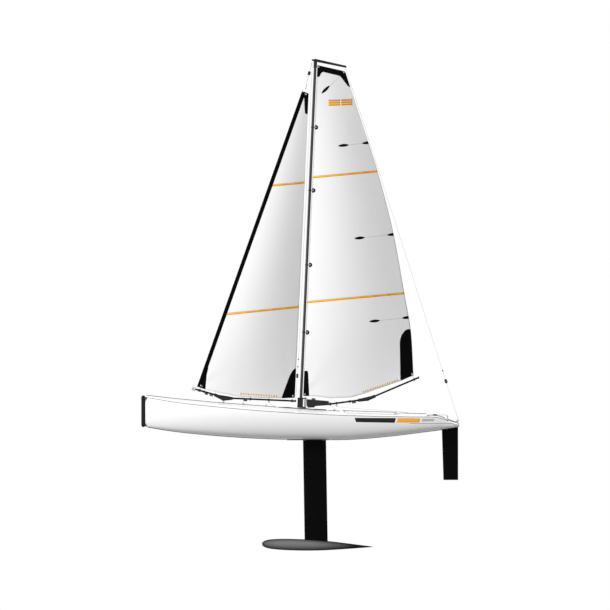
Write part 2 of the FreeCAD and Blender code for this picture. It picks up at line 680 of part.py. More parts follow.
def jib_rig_nodes():
    along = (JIB_BOOM_CRANK_FORE - JIB_BOOM_TIP).normalize()
    tip = JIB_BOOM_TIP + along * 11
    node("jib_counterweight", rod(JIB_BOOM_TIP, tip, 5.4).cut(rod(tip - along * 8, tip, BOOM_R)))
    tubes = [tube(tip - along * 8, JIB_BOOM_CRANK_FORE, BOOM_R, 1.9)]
    elbow = elbow_on(
        JIB_BOOM_TIP, JIB_BOOM_CRANK_FORE, JIB_BOOM_CRANK, JIB_BOOM_CRANK_AFT, JIB_BOOM_END
    )
    stem = rod(JIB_PIVOT_LOW + JIB_AXIS * 6.0, JIB_BOOM_CRANK, 1.3)
    node("jib_boom_elbow", elbow.fuse(stem).removeSplitter())
    back = (JIB_BOOM_END - JIB_BOOM_CRANK_AFT).normalize()
    tubes.append(tube(JIB_BOOM_CRANK_AFT, JIB_BOOM_END - back * 5.1, BOOM_R, 1.9))
    node("jib_boom_tubes", group(tubes))
    node("jib_boom_end_cap", rod(JIB_BOOM_END - back * 5, JIB_BOOM_END, 3.2))
    rings = []
    for x, length in ((347.0, 7.0), (332.0, 3.0)):
        centre = on_boom(JIB_BOOM_TIP, along, x)
        rings.append(tube(centre, centre + along * length, 4.1, BOOM_R))
    for x, length in ((194.0, 5.0), (138.5, 4.0), (69.5, 5.0)):
        centre = on_boom(JIB_BOOM_CRANK_AFT, back, x)
        rings.append(tube(centre, centre + back * length, 4.1, BOOM_R))
    eye = Part.makeTorus(2.0, 0.6, V(136.5, 0, 112.6), PORT)
    aft_tube = rod(JIB_BOOM_CRANK_AFT, JIB_BOOM_END, BOOM_R)
    rings[3] = rings[3].fuse(eye.cut(aft_tube))
    for x in (327.5, 312.5):
        rings.append(slider_beside(on_boom(JIB_BOOM_TIP, along, x), along, 11.0, -BOOM_R))
    rings.append(slider_beside(on_boom(JIB_BOOM_CRANK_AFT, back, 212.5), back, 12.0, -BOOM_R))
    node("jib_boom_rings", group(rings))
    node("jib_sail", jib_sail())
    luff = (JIB_HEAD_LUFF - JIB_TACK).normalize()
    pocket = tube(JIB_TACK + V(3.2, 0, 0), JIB_HEAD_LUFF + V(3.2, 0, 0), 2.6, 0.8)
    node("jib_luff_sleeve", pocket)
    wire = rod(JIB_TACK + V(3.2, 0, 0) - luff * 1, JIB_HEAD_LUFF + V(3.2, 0, 0) + luff * 4, 0.7)
    halyard = rod(axis_point(1060.5), axis_point(1127.0), LINE_R)
    node("jib_halyard", group([wire, halyard]))
    swivel = rod(axis_point(1046.5), axis_point(1060.4), 2.4)
    node("jib_head_swivel", swivel)
    lift = bent_rod([LIFT_LOW, LIFT_BEND, LIFT_HIGH], LINE_R)
    node("jib_topping_lift", lift)
    beads = [rod(axis_point(1088.5), axis_point(1099.5), 4.2).cut(halyard)]
    for z in (217.2, 239.3):
        beads.append(Part.makeSphere(2.0, line_point(LIFT_LOW, LIFT_BEND, z)).cut(lift))
    node("jib_line_beads", group(beads))
    node("topping_lift_bowsie", bowsie_on(LIFT_LOW, LIFT_BEND, 190.0, 3.4))
    node("jib_sheet", bent_rod([V(136.5, 0, 109.2), V(118.0, 0, 99.0), V(118.0, 0, 91.0)], LINE_R))


def axis_point(z):
    """The point of the jib's pivot axis at a height."""
    return line_point(JIB_PIVOT_LOW, JIB_PIVOT_HIGH, z)


def jib_sail():
    """The jib, from the foot up."""
    rows = []
    for row in range(JIB_ROWS):
        t = row / (JIB_ROWS - 1)
        luff = JIB_TACK + (JIB_HEAD_LUFF - JIB_TACK) * t
        leech = JIB_CLEW + (JIB_HEAD_LEECH - JIB_CLEW) * t
        depth = JIB_DEPTH * (0.45 + 0.55 * math.sin(math.pi * min(1.0, t + 0.12)))
        sag = JIB_FOOT_SAG if row == 0 else 0.0
        rows.append(sail_row(luff, leech, depth, sag))
    return sheet_solid(rows, FILM)


# ------------------------------------------------------------------ rudder


def rudder_nodes():
    tube_low = 31.5
    bush = tube(V(STOCK_X, 0, tube_low), V(STOCK_X, 0, 66.6), 3.5, STOCK_R + RUNNING_FIT)
    node("rudder_tube", bush)
    blade = Part.makeLoft(
        [
            foil(48.9, 5.7, -380.0, 38.0),
            foil(44.0, 4.2, -385.0, RUDDER_BOTTOM_Z),
        ],
        True, True,
    )
    above = prism_y(
        [(-370.0, RUDDER_TOP_Z), (-440.0, RUDDER_TOP_Z + 10.4), (-440.0, 60.0), (-370.0, 60.0)], 9.0
    )
    blade = blade.cut(above)
    stock = rod(V(STOCK_X, 0, -100), V(STOCK_X, 0, TILLER_Z + 3.2), STOCK_R)
    cap = Part.makeCylinder(3.6, 1.6, V(STOCK_X, 0, TILLER_Z + 3.05))
    cap = cap.cut(box((STOCK_X - 4, -0.4, TILLER_Z + 4.0), (STOCK_X + 4, 0.4, TILLER_Z + 6)))
    stock = stock.fuse(cap).removeSplitter()
    node("rudder_blade", blade.cut(stock))
    node("rudder_stock", stock)
    boss = Part.makeCylinder(4.6, 3.0, V(STOCK_X, 0, TILLER_Z))
    arm = box((STOCK_X - 2.6, -ARM_LENGTH, TILLER_Z), (STOCK_X + 2.6, 0, TILLER_Z + 2.4))
    tip = Part.makeCylinder(2.6, 2.4, V(STOCK_X, -ARM_LENGTH, TILLER_Z))
    tiller = boss.fuse(arm).fuse(tip)
    tiller = tiller.cut(stock)
    hole = Part.makeCylinder(ROD_R + OPEN_PIVOT_GAP, 9, V(STOCK_X, -ARM_LENGTH, TILLER_Z - 3))
    node("tiller_arm", tiller.cut(hole).removeSplitter())
    pivot = SERVO_PIVOT + V(0, -ARM_LENGTH, 0)
    points = [
        V(pivot.x, pivot.y, SERVO_ARM_Z - 1.2),
        V(pivot.x, pivot.y, SERVO_ARM_Z + 4.0),
        V(-322.0, -ARM_LENGTH, ROD_Z),
        V(STOCK_X, -ARM_LENGTH, ROD_Z),
        V(STOCK_X, -ARM_LENGTH, TILLER_Z - 1.0),
    ]
    node("rudder_pushrod", bent_rod(points, ROD_R))
    horn = Part.makeCylinder(4.4, 3.0, V(SERVO_PIVOT.x, SERVO_PIVOT.y, SERVO_ARM_Z))
    lever = box(
        (pivot.x - 2.4, pivot.y, SERVO_ARM_Z), (pivot.x + 2.4, SERVO_PIVOT.y, SERVO_ARM_Z + 2.0)
    )
    horn = horn.fuse(lever).fuse(Part.makeCylinder(2.4, 2.0, V(pivot.x, pivot.y, SERVO_ARM_Z)))
    horn = horn.cut(Part.makeCylinder(ROD_R + RUNNING_FIT, 9, V(pivot.x, pivot.y, SERVO_ARM_Z - 3)))
    node("rudder_servo_arm", horn.removeSplitter())


# ------------------------------------------------------------------ radio gear


def radio_nodes():
    tray = box((-286, -60, TRAY_Z), (-88, 60, TRAY_Z + TRAY_THICK))
    tray = tray.common(hull_body(SHELL + 0.3, 6.0))
    tray = tray.cut(box((-151, -12.5, 0), (-103, 12.5, 60)))
    tray = tray.cut(box((-262.5, -38.5, 0), (-221.5, -17.5, 60)))
    node("radio_tray", tray)
    winch = box((-150.5, -12, 8.0), (-103.5, 12, 50.0))
    ears = box((-156, -12, TRAY_Z + 2.1), (-98, 12, TRAY_Z + 4.1))
    winch = winch.fuse(ears)
    winch = winch.fuse(Part.makeCylinder(2.9, 3.5, V(WINCH_X, 0, 49))).removeSplitter()
    winch = winch.fuse(Part.makeCylinder(2.0, 10.0, V(WINCH_X, 0, 51.5))).removeSplitter()
    node("winch_case", winch)
    drum = Part.makeCylinder(DRUM_R, DRUM_HEIGHT, V(WINCH_X, 0, DRUM_Z + 1))
    groove = Part.makeCylinder(DRUM_R + 1, 7, V(WINCH_X, 0, DRUM_Z + 3.5)).cut(
        Part.makeCylinder(DRUM_GROOVE_R, 7, V(WINCH_X, 0, DRUM_Z + 3.5))
    )
    drum = drum.cut(groove)
    drum = drum.cut(Part.makeCylinder(2.0 + RUNNING_FIT, 11, V(WINCH_X, 0, DRUM_Z)))
    for i in range(5):
        spot = V(WINCH_X, 0, DRUM_Z - 1) + V(10 * math.cos(i * 1.2566), 10 * math.sin(i * 1.2566), 0)
        drum = drum.cut(Part.makeCylinder(3.0, 20, spot))
    node("winch_drum", drum)
    servo = box((-262, -38, 18), (-222, -18, 55))
    ears = box((-268.5, -38, TRAY_Z + 2.1), (-215.5, -18, TRAY_Z + 4.1))
    servo = servo.fuse(ears)
    servo = servo.fuse(Part.makeCylinder(3.0, 4.7, V(SERVO_PIVOT.x, SERVO_PIVOT.y, 55)))
    node("rudder_servo_case", servo.removeSplitter())
    screws = []
    for x, y in ((-153.5, -8), (-153.5, 8), (-100.5, -8), (-100.5, 8)):
        screws.append(Part.makeCylinder(2.2, 1.4, V(x, y, TRAY_Z + 4.15)))
    for x, y in ((-265.5, -33), (-265.5, -23), (-218.5, -33), (-218.5, -23)):
        screws.append(Part.makeCylinder(2.2, 1.4, V(x, y, TRAY_Z + 4.15)))
    node("tray_screws", group(screws))
    node("receiver", rounded_box((-210, 14, 16), (-165, 38, 31), 2.0, UP))
    cells = []
    for i in range(4):
        cells.append(Part.makeCylinder(7.2, 50.0, V(-97, -22.5 + 15 * i, 17), FORWARD))
    node("battery_cells", group(cells))
    cradle = box((-99, -31, 6.0), (-45, 31, 22)).cut(box((-97.5, -29.9, 9.7), (-46.5, 29.9, 30)))
    node("battery_cradle", cradle)
    case = box((-196, 24, TRAY_Z + 2.1), (-176, 36, TRAY_Z + 10))
    case = case.cut(box((-193, 28, TRAY_Z + 6), (-179, 32, TRAY_Z + 11)))
    node("switch_case", case)
    knob = box((-192.6, 28.4, TRAY_Z + 6.4), (-185.6, 31.6, TRAY_Z + 9.8))
    knob = knob.fuse(box((-191.1, 28.9, TRAY_Z + 9.8), (-187.1, 31.1, TRAY_Z + 13)))
    node("power_switch", knob.removeSplitter())
    top = deck_height(SHEAVE_X, 0) - DECK - 1.0
    bracket = box((SHEAVE_X - 5, -5, top - 2), (SHEAVE_X + 5, 5, top))
    bracket = bracket.fuse(rod(V(SHEAVE_X, 0, SHEAVE_Z - 1.5), V(SHEAVE_X, 0, top - 1), 1.5))
    bracket = bracket.fuse(rod(V(SHEAVE_X, 0, SHEAVE_Z - 3), V(SHEAVE_X, 0, SHEAVE_Z - 1.4), 3.0))
    node("sheave_bracket", bracket.removeSplitter())
    wheel = Part.makeCylinder(SHEAVE_R, 4.4, V(SHEAVE_X, 0, SHEAVE_Z - 1.0))
    wheel = wheel.cut(Part.makeTorus(SHEAVE_R + 0.4, 1.3, V(SHEAVE_X, 0, SHEAVE_Z + 1.2)))
    wheel = wheel.cut(Part.makeCylinder(1.5 + RUNNING_FIT, 9, V(SHEAVE_X, 0, SHEAVE_Z - 3)))
    node("turning_sheave", wheel)
    node("sheet_loop", sheet_loop())


def sheet_loop():
    """The two runs of the endless line between the winch drum and the turning sheave."""
    runs = []
    level = SHEAVE_Z + 1.2
    for side in (-1, 1):
        start = V(WINCH_X - 4, side * (DRUM_GROOVE_R + 1.0), level)
        end = V(SHEAVE_X + 1, side * (SHEAVE_R + 0.4), level)
        runs.append(rod(start, end, LINE_R))
    return group(runs)


def build():
    """Make every node and write it."""
    hull_nodes()
    deck_fittings()
    keel_nodes()
    mast_nodes()
    main_rig_nodes()
    jib_rig_nodes()
    rudder_nodes()
    radio_nodes()
    os.makedirs("parts", exist_ok=True)
    for name, shape in NODES.items():
        print(name, len(shape.Solids), round(shape.Volume), shape.isValid())
        shape.exportStep("parts/" + name + ".step")
    print(len(NODES), "nodes")


build()
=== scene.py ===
"""Dresses the racing yacht: sailcloth, patches, rigging, hull trim, materials, light and camera.

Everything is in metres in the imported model's own frame: +X towards the bow, +Y to port, +Z up.
"""

import json
import logging
import math
from dataclasses import dataclass, field
from enum import Enum
from typing import Any, Sequence

import bmesh
import bpy
from mathutils import Matrix, Vector
from mathutils.bvhtree import BVHTree
from mathutils.geometry import delaunay_2d_cdt

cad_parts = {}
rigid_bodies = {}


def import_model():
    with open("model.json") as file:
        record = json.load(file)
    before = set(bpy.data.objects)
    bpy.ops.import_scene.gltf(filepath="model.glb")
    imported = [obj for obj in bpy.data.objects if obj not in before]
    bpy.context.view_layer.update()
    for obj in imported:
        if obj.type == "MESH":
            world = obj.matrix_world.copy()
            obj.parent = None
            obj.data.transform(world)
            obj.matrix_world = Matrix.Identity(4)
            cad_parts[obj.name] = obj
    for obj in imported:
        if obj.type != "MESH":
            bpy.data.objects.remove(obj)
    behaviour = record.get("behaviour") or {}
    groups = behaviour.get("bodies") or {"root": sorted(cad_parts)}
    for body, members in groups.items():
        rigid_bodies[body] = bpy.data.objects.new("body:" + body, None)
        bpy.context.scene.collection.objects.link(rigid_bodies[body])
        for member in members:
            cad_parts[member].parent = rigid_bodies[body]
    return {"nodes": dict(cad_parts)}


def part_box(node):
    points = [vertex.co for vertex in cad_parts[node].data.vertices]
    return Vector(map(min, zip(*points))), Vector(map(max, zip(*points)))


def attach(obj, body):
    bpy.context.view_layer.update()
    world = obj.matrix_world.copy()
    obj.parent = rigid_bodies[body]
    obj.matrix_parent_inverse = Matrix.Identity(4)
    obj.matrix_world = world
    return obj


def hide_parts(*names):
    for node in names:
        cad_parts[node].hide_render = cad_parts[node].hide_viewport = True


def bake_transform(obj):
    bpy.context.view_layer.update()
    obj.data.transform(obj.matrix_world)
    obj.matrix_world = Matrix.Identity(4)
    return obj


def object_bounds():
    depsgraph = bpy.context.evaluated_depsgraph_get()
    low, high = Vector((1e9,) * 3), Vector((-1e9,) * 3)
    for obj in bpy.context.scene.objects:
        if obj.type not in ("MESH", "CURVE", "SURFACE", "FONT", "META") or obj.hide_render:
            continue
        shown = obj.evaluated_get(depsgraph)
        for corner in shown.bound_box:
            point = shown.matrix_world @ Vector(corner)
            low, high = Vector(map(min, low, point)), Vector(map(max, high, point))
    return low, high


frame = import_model()
CAD_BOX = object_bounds()
LOG = logging.getLogger("yacht")
Point = tuple[float, float]
Rgb = tuple[float, float, float]
Shape = tuple[list[Vector], list[tuple[int, ...]]]
UP, DOWN = Vector((0, 0, 1)), Vector((0, 0, -1))
RAY_REACH = 0.3  # further out than the hull and the deck
SHARPEST = 0.0002  # a smaller cut leaves a corner as it is


# ---------------------------------------------------------------- shader maths


class Value:
    """A shader socket that can stand in ordinary arithmetic."""

    def __init__(self, bench: "Bench", socket: bpy.types.NodeSocket) -> None:
        """Wrap one output socket of a bench's tree."""
        self.bench = bench
        self.socket = socket

    def _math(self, operation: str, first: Any, second: Any) -> "Value":
        """Add a Math node.

        Args:
            operation: the Math node's operation.
            first: its first value or socket.
            second: its second value or socket.

        Returns:
            The node's result.
        """
        return self.bench.node("ShaderNodeMath", {"operation": operation}, {0: first, 1: second})

    def __add__(self, other: Any) -> "Value":
        """Sum."""
        return self._math("ADD", self, other)

    def __radd__(self, other: Any) -> "Value":
        """Sum, from the right."""
        return self._math("ADD", other, self)

    def __sub__(self, other: Any) -> "Value":
        """Difference."""
        return self._math("SUBTRACT", self, other)

    def __rsub__(self, other: Any) -> "Value":
        """Difference, from the right."""
        return self._math("SUBTRACT", other, self)

    def __mul__(self, other: Any) -> "Value":
        """Product."""
        return self._math("MULTIPLY", self, other)

    def __rmul__(self, other: Any) -> "Value":
        """Product, from the right."""
        return self._math("MULTIPLY", other, self)

    def at_most(self, other: Any) -> "Value":
        """The smaller of two values."""
        return self._math("MINIMUM", self, other)

    def wave(self) -> "Value":
        """The sine of the value."""
        return self._math("SINE", self, 0.0)

    def size(self) -> "Value":
        """The value without its sign."""
        return self._math("ABSOLUTE", self, 0.0)


class Bench:
    """One material's node tree, with the few tools that every finish uses."""

    def __init__(self, name: str) -> None:
        """Start an empty material with a Principled shader.

        Args:
            name: the material's name.
        """
        self.material = bpy.data.materials.new(name)
        self.material.use_nodes = True
        self.tree = self.material.node_tree
        self.tree.nodes.clear()
        self.out = self.tree.nodes.new("ShaderNodeOutputMaterial")
        self.shader = self.tree.nodes.new("ShaderNodeBsdfPrincipled")
        self.tree.links.new(self.shader.outputs[0], self.out.inputs["Surface"])

    def node(
        self, kind: str, settings: dict[str, Any], sockets: dict[Any, Any], out: int | str = 0
    ) -> Value:
        """Add any node.

        Args:
            kind: the node's type.
            settings: attributes that are set first.
            sockets: values or links by socket name or number.
            out: the output that is returned.

        Returns:
            The chosen output, ready for arithmetic.
        """
        made = self.tree.nodes.new(kind)
        for key, value in settings.items():
            setattr(made, key, value)
        for key, value in sockets.items():
            self.feed(made.inputs[key], value)
        return Value(self, made.outputs[out])

    def feed(self, socket: bpy.types.NodeSocket, value: Any) -> None:
        """Link a value to a socket, or set the socket to a number or colour.

        Args:
            socket: the input that is fed.
            value: a wrapped output, a number or a colour.
        """
        if isinstance(value, Value):
            self.tree.links.new(value.socket, socket)
        elif isinstance(value, tuple) and len(value) == 3 and socket.type == "RGBA":
            socket.default_value = (*value, 1.0)
        else:
            socket.default_value = value

    def set(self, **sockets: Any) -> None:
        """Set the Principled shader's sockets, with spaces written as underscores."""
        for key, value in sockets.items():
            self.feed(self.shader.inputs[key.replace("_", " ")], value)

    def place(self, scale: Sequence[float] = (1, 1, 1), turn: Sequence[float] = (0, 0, 0)) -> Value:
        """Object coordinates, turned and stretched.

        Args:
            scale: how much each axis is multiplied.
            turn: the turn about each axis, in radians.

        Returns:
            The place, as a vector.
        """
        coords = self.node("ShaderNodeTexCoord", {}, {}, "Object")
        sockets = {"Vector": coords, "Rotation": tuple(turn), "Scale": tuple(scale)}
        return self.node("ShaderNodeMapping", {}, sockets)

    def noise(self, where: Value, scale: float, detail: float = 3.0, rough: float = 0.55) -> Value:
        """Soft noise between nought and one."""
        sockets = {"Vector": where, "Scale": scale, "Detail": detail, "Roughness": rough}
        return self.node("ShaderNodeTexNoise", {}, sockets)

    def axis(self, where: Value, name: str) -> Value:
        """One coordinate of a place."""
        return self.node("ShaderNodeSeparateXYZ", {}, {0: where}, name)

    def blend(self, share: Any, first: Any, second: Any) -> Value:
        """Mix two colours by a share."""
        settings = {"data_type": "RGBA", "clamp_factor": True}
        return self.node("ShaderNodeMix", settings, {0: share, 6: first, 7: second}, 2)

    def ramp(self, value: Value, low: float, high: float) -> Value:
        """Stretch a range of a value to nought and one, without going past either."""
        sockets = {0: value, 1: low, 2: high, 3: 0.0, 4: 1.0}
        return self.node("ShaderNodeMapRange", {"clamp": True}, sockets)

    def bump(self, height: Value, strength: float, distance: float) -> None:
        """Feed the shader's normal from a height."""
        sockets = {"Height": height, "Strength": strength, "Distance": distance}
        self.feed(self.shader.inputs["Normal"], self.node("ShaderNodeBump", {}, sockets))


# ---------------------------------------------------------------- finishes


def tinted(colour: Rgb, gain: float, lift: float = 0.0) -> Rgb:
    """A colour made paler or darker."""
    return tuple(c * gain + lift for c in colour)


@dataclass(frozen=True)
class MouldedShell:
    """Gloss white moulded plastic with faint ripple, handling marks, dust and painted shade that
    greys it towards the keel.
    """

    name: str = "moulded_shell"
    colour: Rgb = (0.95, 0.95, 0.95)
    rough: float = 0.26
    coat: float = 0.35
    # how grey the painted shade makes the bottom; 1.0 paints no shade
    shade_tone: float = 0.68

    def make(self) -> bpy.types.Material:
        """Build the material, with painted shade that greys it towards the keel.

        Returns:
            The material.
        """
        b = Bench(self.name)
        where = b.place()
        cloud = b.noise(where, 9.0, 4.0)
        dust = b.ramp(b.noise(where, 420.0, 2.0, 0.7), 0.64, 0.76)
        darker = tinted(self.colour, 0.97)
        mottled = b.blend(dust * 0.3 + cloud * 0.15, self.colour, darker)
        # painted shade: the colour greys from the top down towards the keel, as if lit from above
        low = tinted(self.colour, self.shade_tone)
        b.set(
            Base_Color=b.blend(b.ramp(b.axis(where, "Z"), 0.020, 0.086), low, mottled),
            Roughness=cloud * 0.1 + dust * 0.14 + (self.rough - 0.05),
            Coat_Weight=self.coat, Coat_Roughness=0.12, IOR=1.47,
        )
        b.bump(b.noise(where, 9.0, 1.0) + b.noise(where, 1500.0, 1.0) * 0.04, 0.03, 0.0003)
        return b.material


@dataclass(frozen=True)
class GrainedPlastic:
    """Moulded nylon with a spark-eroded grain and paler rubbed spots."""

    name: str
    colour: Rgb
    rough: float = 0.48
    grain: float = 2600.0
    shine: float = 0.3

    def make(self) -> bpy.types.Material:
        """Build the material.

        Returns:
            The material.
        """
        b = Bench(self.name)
        where = b.place()
        grain = b.noise(where, self.grain, 2.0, 0.6)
        rubbed = b.ramp(b.noise(where, 130.0, 5.0, 0.7), 0.58, 0.75)
        paler = tinted(self.colour, 1.25, 0.008)
        b.set(
            Base_Color=b.blend(rubbed * 0.5 + grain * 0.15, self.colour, paler),
            Roughness=grain * 0.16 - rubbed * 0.1 + self.rough,
            Specular_IOR_Level=self.shine,
        )
        b.bump(grain, 0.35, 0.0001)
        return b.material


@dataclass(frozen=True)
class CarbonTube:
    """Pultruded carbon: fine streaks along the tube under a clear skin."""

    name: str
    stretch: tuple[float, float, float]
    turn: tuple[float, float, float] = (0.0, 0.0, 0.0)
    colour: Rgb = (0.012, 0.012, 0.013)
    streak: Rgb = (0.07, 0.07, 0.073)
    coat: float = 0.3

    def make(self) -> bpy.types.Material:
        """Build the material.

        Returns:
            The material.
        """
        b = Bench(self.name)
        where = b.place(self.stretch, self.turn)
        streak = b.noise(where, 1.0, 5.0, 0.65)
        b.set(
            Base_Color=b.blend(b.ramp(streak, 0.42, 0.68), self.colour, self.streak),
            Roughness=streak * 0.2 + 0.24, Coat_Weight=self.coat, Coat_Roughness=0.14,
            Specular_IOR_Level=self.coat,
        )
        b.bump(streak, 0.2, 0.00012)
        return b.material


@dataclass(frozen=True)
class SailCloth:
    """White film sailcloth: a reinforcing grid, long soft creases and a little light through it."""

    name: str = "sail_cloth"
    colour: Rgb = (0.85, 0.85, 0.85)
    grid: float = 0.0042
    through: float = 0.12

    def make(self) -> bpy.types.Material:
        """Build the material.

        Returns:
            The material.
        """
        b = Bench(self.name)
        where = b.place((1, 1, 1), (0, math.radians(8), 0))
        pitch = math.tau / self.grid
        along = b.ramp((b.axis(where, "X") * pitch).wave().size(), 0.0, 0.16)
        across = b.ramp((b.axis(where, "Z") * pitch).wave().size(), 0.0, 0.16)
        thread = 1 - along.at_most(across)
        crease = b.noise(b.place((7, 1, 2.2), (0, math.radians(-14), 0)), 1.0, 4.0, 0.6)
        fine = b.noise(where, 900.0, 2.0)
        # painted shade: the crease noise also greys the colour a little, as shade lying in the
        # creases
        tone = thread * 0.3 + b.ramp(crease, 0.45, 0.75) * 0.15
        b.set(
            Base_Color=b.blend(tone, self.colour, tinted(self.colour, 0.95)),
            Roughness=fine * 0.14 + thread * 0.1 + 0.34,
            Specular_IOR_Level=0.3,
        )
        b.bump(crease * 1.0 + thread * 0.012 + fine * 0.008, 0.35, 0.003)
        glow = b.node("ShaderNodeBsdfTranslucent", {}, {"Color": (0.85, 0.85, 0.85)})
        film = Value(b, b.shader.outputs[0])
        mixed = b.node("ShaderNodeMixShader", {}, {0: self.through, 1: film, 2: glow})
        b.tree.links.new(mixed.socket, b.out.inputs["Surface"])
        return b.material


@dataclass(frozen=True)
class WovenTape:
    """Adhesive polyester cloth, a plain weave in one colour."""

    name: str
    colour: Rgb
    rough: float = 0.55
    pitch: float = 0.0006
    shine: float = 0.25

    def make(self) -> bpy.types.Material:
        """Build the material.

        Returns:
            The material.
        """
        b = Bench(self.name)
        where = b.place()
        beat = math.tau / self.pitch
        weave = (b.axis(where, "X") * beat).wave() * (b.axis(where, "Z") * beat).wave()
        worn = b.ramp(b.noise(where, 60.0, 4.0, 0.7), 0.5, 0.8)
        paler = tinted(self.colour, 1.12, 0.002)
        b.set(
            Base_Color=b.blend(weave * 0.2 + worn * 0.5 + 0.1, self.colour, paler),
            Roughness=weave * 0.06 + worn * 0.1 + self.rough, Specular_IOR_Level=self.shine,
        )
        b.bump(weave * 0.5 + worn * 0.4, 0.3, 0.00012)
        return b.material


@dataclass(frozen=True)
class Metal:
    """Turned or drawn metal with fine lines along one way."""

    name: str
    colour: Rgb
    rough: float = 0.28
    stretch: tuple[float, float, float] = (3000.0, 3000.0, 90.0)

    def make(self) -> bpy.types.Material:
        """Build the material.

        Returns:
            The material.
        """
        b = Bench(self.name)
        line = b.noise(b.place(self.stretch), 1.0, 3.0)
        stain = b.noise(b.place(), 160.0, 4.0, 0.65)
        b.set(
            Base_Color=b.blend(stain * 0.5, self.colour, tinted(self.colour, 0.8)),
            Metallic=1.0, Roughness=line * 0.16 + stain * 0.12 + (self.rough - 0.1),
        )
        b.bump(line, 0.12, 0.00006)
        return b.material


@dataclass(frozen=True)
class Rubber:
    """Soft black rubber, dull, with a fine bloom."""

    name: str = "soft_rubber"
    colour: Rgb = (0.005, 0.005, 0.0055)

    def make(self) -> bpy.types.Material:
        """Build the material.

        Returns:
            The material.
        """
        b = Bench(self.name)
        where = b.place()
        bloom = b.ramp(b.noise(where, 38.0, 6.0, 0.7), 0.45, 0.8)
        grain = b.noise(where, 1700.0, 2.0)
        b.set(
            Base_Color=b.blend(bloom * 0.6, self.colour, (0.014, 0.014, 0.0145)),
            Roughness=grain * 0.12 + bloom * 0.14 + 0.56, Specular_IOR_Level=0.2,
        )
        b.bump(grain + bloom * 0.4, 0.3, 0.00015)
        return b.material


@dataclass(frozen=True)
class SatinPaint:
    """Sprayed satin paint over a casting, with orange peel, rubbed spots and, if it has one, a
    painted highlight on its flanks.
    """

    name: str
    colour: Rgb
    rough: float = 0.4
    shine: float = 0.3
    # the colour of a painted highlight on the flanks, or None for none
    lit_flank: Rgb | None = None

    def make(self) -> bpy.types.Material:
        """Build the material, with a painted highlight on the flanks if the paint has one.

        Returns:
            The material.
        """
        b = Bench(self.name)
        where = b.place()
        peel = b.noise(where, 520.0, 2.0)
        lumps = b.noise(where, 26.0, 3.0)
        rubbed = b.ramp(b.noise(where, 210.0, 6.0, 0.75), 0.62, 0.74)
        paler = tinted(self.colour, 1.3, 0.003)
        coat = b.blend(rubbed * 0.7 + lumps * 0.15, self.colour, paler)
        # painted highlight: paler where the sides face out to port and starboard, darkest along the
        # top and bottom edges
        if self.lit_flank:
            coat = b.blend(b.ramp(b.axis(where, "Y").size(), 0.006, 0.0162), coat, self.lit_flank)
        b.set(
            Base_Color=coat,
            Roughness=peel * 0.1 + lumps * 0.12 + (self.rough - 0.08),
            Specular_IOR_Level=self.shine,
        )
        b.bump(peel * 0.4 + lumps, 0.22, 0.0004)
        return b.material


@dataclass(frozen=True)
class Braid:
    """A thin braided line: crossing strands along its run."""

    name: str
    colour: Rgb
    pitch: float = 0.0011

    def make(self) -> bpy.types.Material:
        """Build the material.

        Returns:
            The material.
        """
        b = Bench(self.name)
        where = b.place()
        beat = math.tau / self.pitch
        along = b.axis(where, "Z") + b.axis(where, "X") * 0.6
        side = b.axis(where, "Y") * (beat * 2.0)
        strand = (along * beat + side).wave() * (along * beat - side).wave()
        b.set(
            Base_Color=b.blend(strand * 0.4 + 0.4, self.colour, tinted(self.colour, 0.6)),
            Roughness=strand * 0.08 + 0.66, Sheen_Weight=0.3,
        )
        b.bump(strand, 0.5, 0.0001)
        return b.material


class Paint(Enum):
    """The finishes of the whole boat, by what they cover."""

    HULL = MouldedShell()
    DECK = MouldedShell("deck_shell", (0.91, 0.91, 0.91), 0.34, 0.15, 1.0)
    WHITE_NYLON = GrainedPlastic("white_nylon", (0.78, 0.78, 0.77), 0.45)
    BLACK_NYLON = GrainedPlastic("black_nylon", (0.006, 0.006, 0.0065), 0.44)
    FITTING = GrainedPlastic("fitting_nylon", (0.017, 0.017, 0.018), 0.45, shine=0.15)
    CASE = GrainedPlastic("servo_case", (0.015, 0.015, 0.016), 0.52, 1900.0)
    TRAY = GrainedPlastic("tray_plate", (0.05, 0.05, 0.052), 0.5)
    # also the colour of the centre lines along the deck, hatch and bottom, which are painted shade
    SEAL_AND_SHADE_LINE = GrainedPlastic("seal_and_shade_line", (0.025, 0.025, 0.026), 0.55, shine=0.15)
    FIN = SatinPaint("fin_black", (0.0012, 0.0012, 0.0013), 0.34, 0.04)
    # the bulb's pale flank colour is a painted highlight
    BULB = SatinPaint("bulb_grey", (0.002, 0.002, 0.002), 0.42, 0.1, (0.17, 0.17, 0.172))
    CELL = SatinPaint("cell_sleeve", (0.03, 0.08, 0.2), 0.3)
    MAST = CarbonTube("mast_carbon", (1500.0, 1500.0, 14.0))
    BOOM = CarbonTube("boom_carbon", (20.0, 1500.0, 1500.0), (0.0, 0.0, 0.0),
                      (0.006, 0.006, 0.0065), (0.014, 0.014, 0.015), 0.04)
    SAIL = SailCloth()
    PATCH = WovenTape("patch_black", (0.0012, 0.0012, 0.0013), 0.55, shine=0.03)
    ORANGE = WovenTape("band_orange", (0.80, 0.385, 0.04), 0.5)
    FOOT_ORANGE = WovenTape("mark_orange", (0.70, 0.42, 0.12), 0.5)
    PALE = WovenTape("pocket_pale", (0.55, 0.55, 0.56), 0.5)
    DECAL_BLACK = SatinPaint("decal_black", (0.004, 0.004, 0.0045), 0.3)
    DECAL_ORANGE = SatinPaint("decal_orange", (0.86, 0.40, 0.045), 0.3)
    DECAL_GREY = SatinPaint("decal_grey", (0.45, 0.45, 0.46), 0.3)
    RUBBER = Rubber()
    STEEL = Metal("turned_steel", (0.62, 0.63, 0.64))
    LINE = Braid("line_pale", (0.55, 0.55, 0.56))
    DARK_LINE = Braid("line_dark", (0.02, 0.02, 0.022))


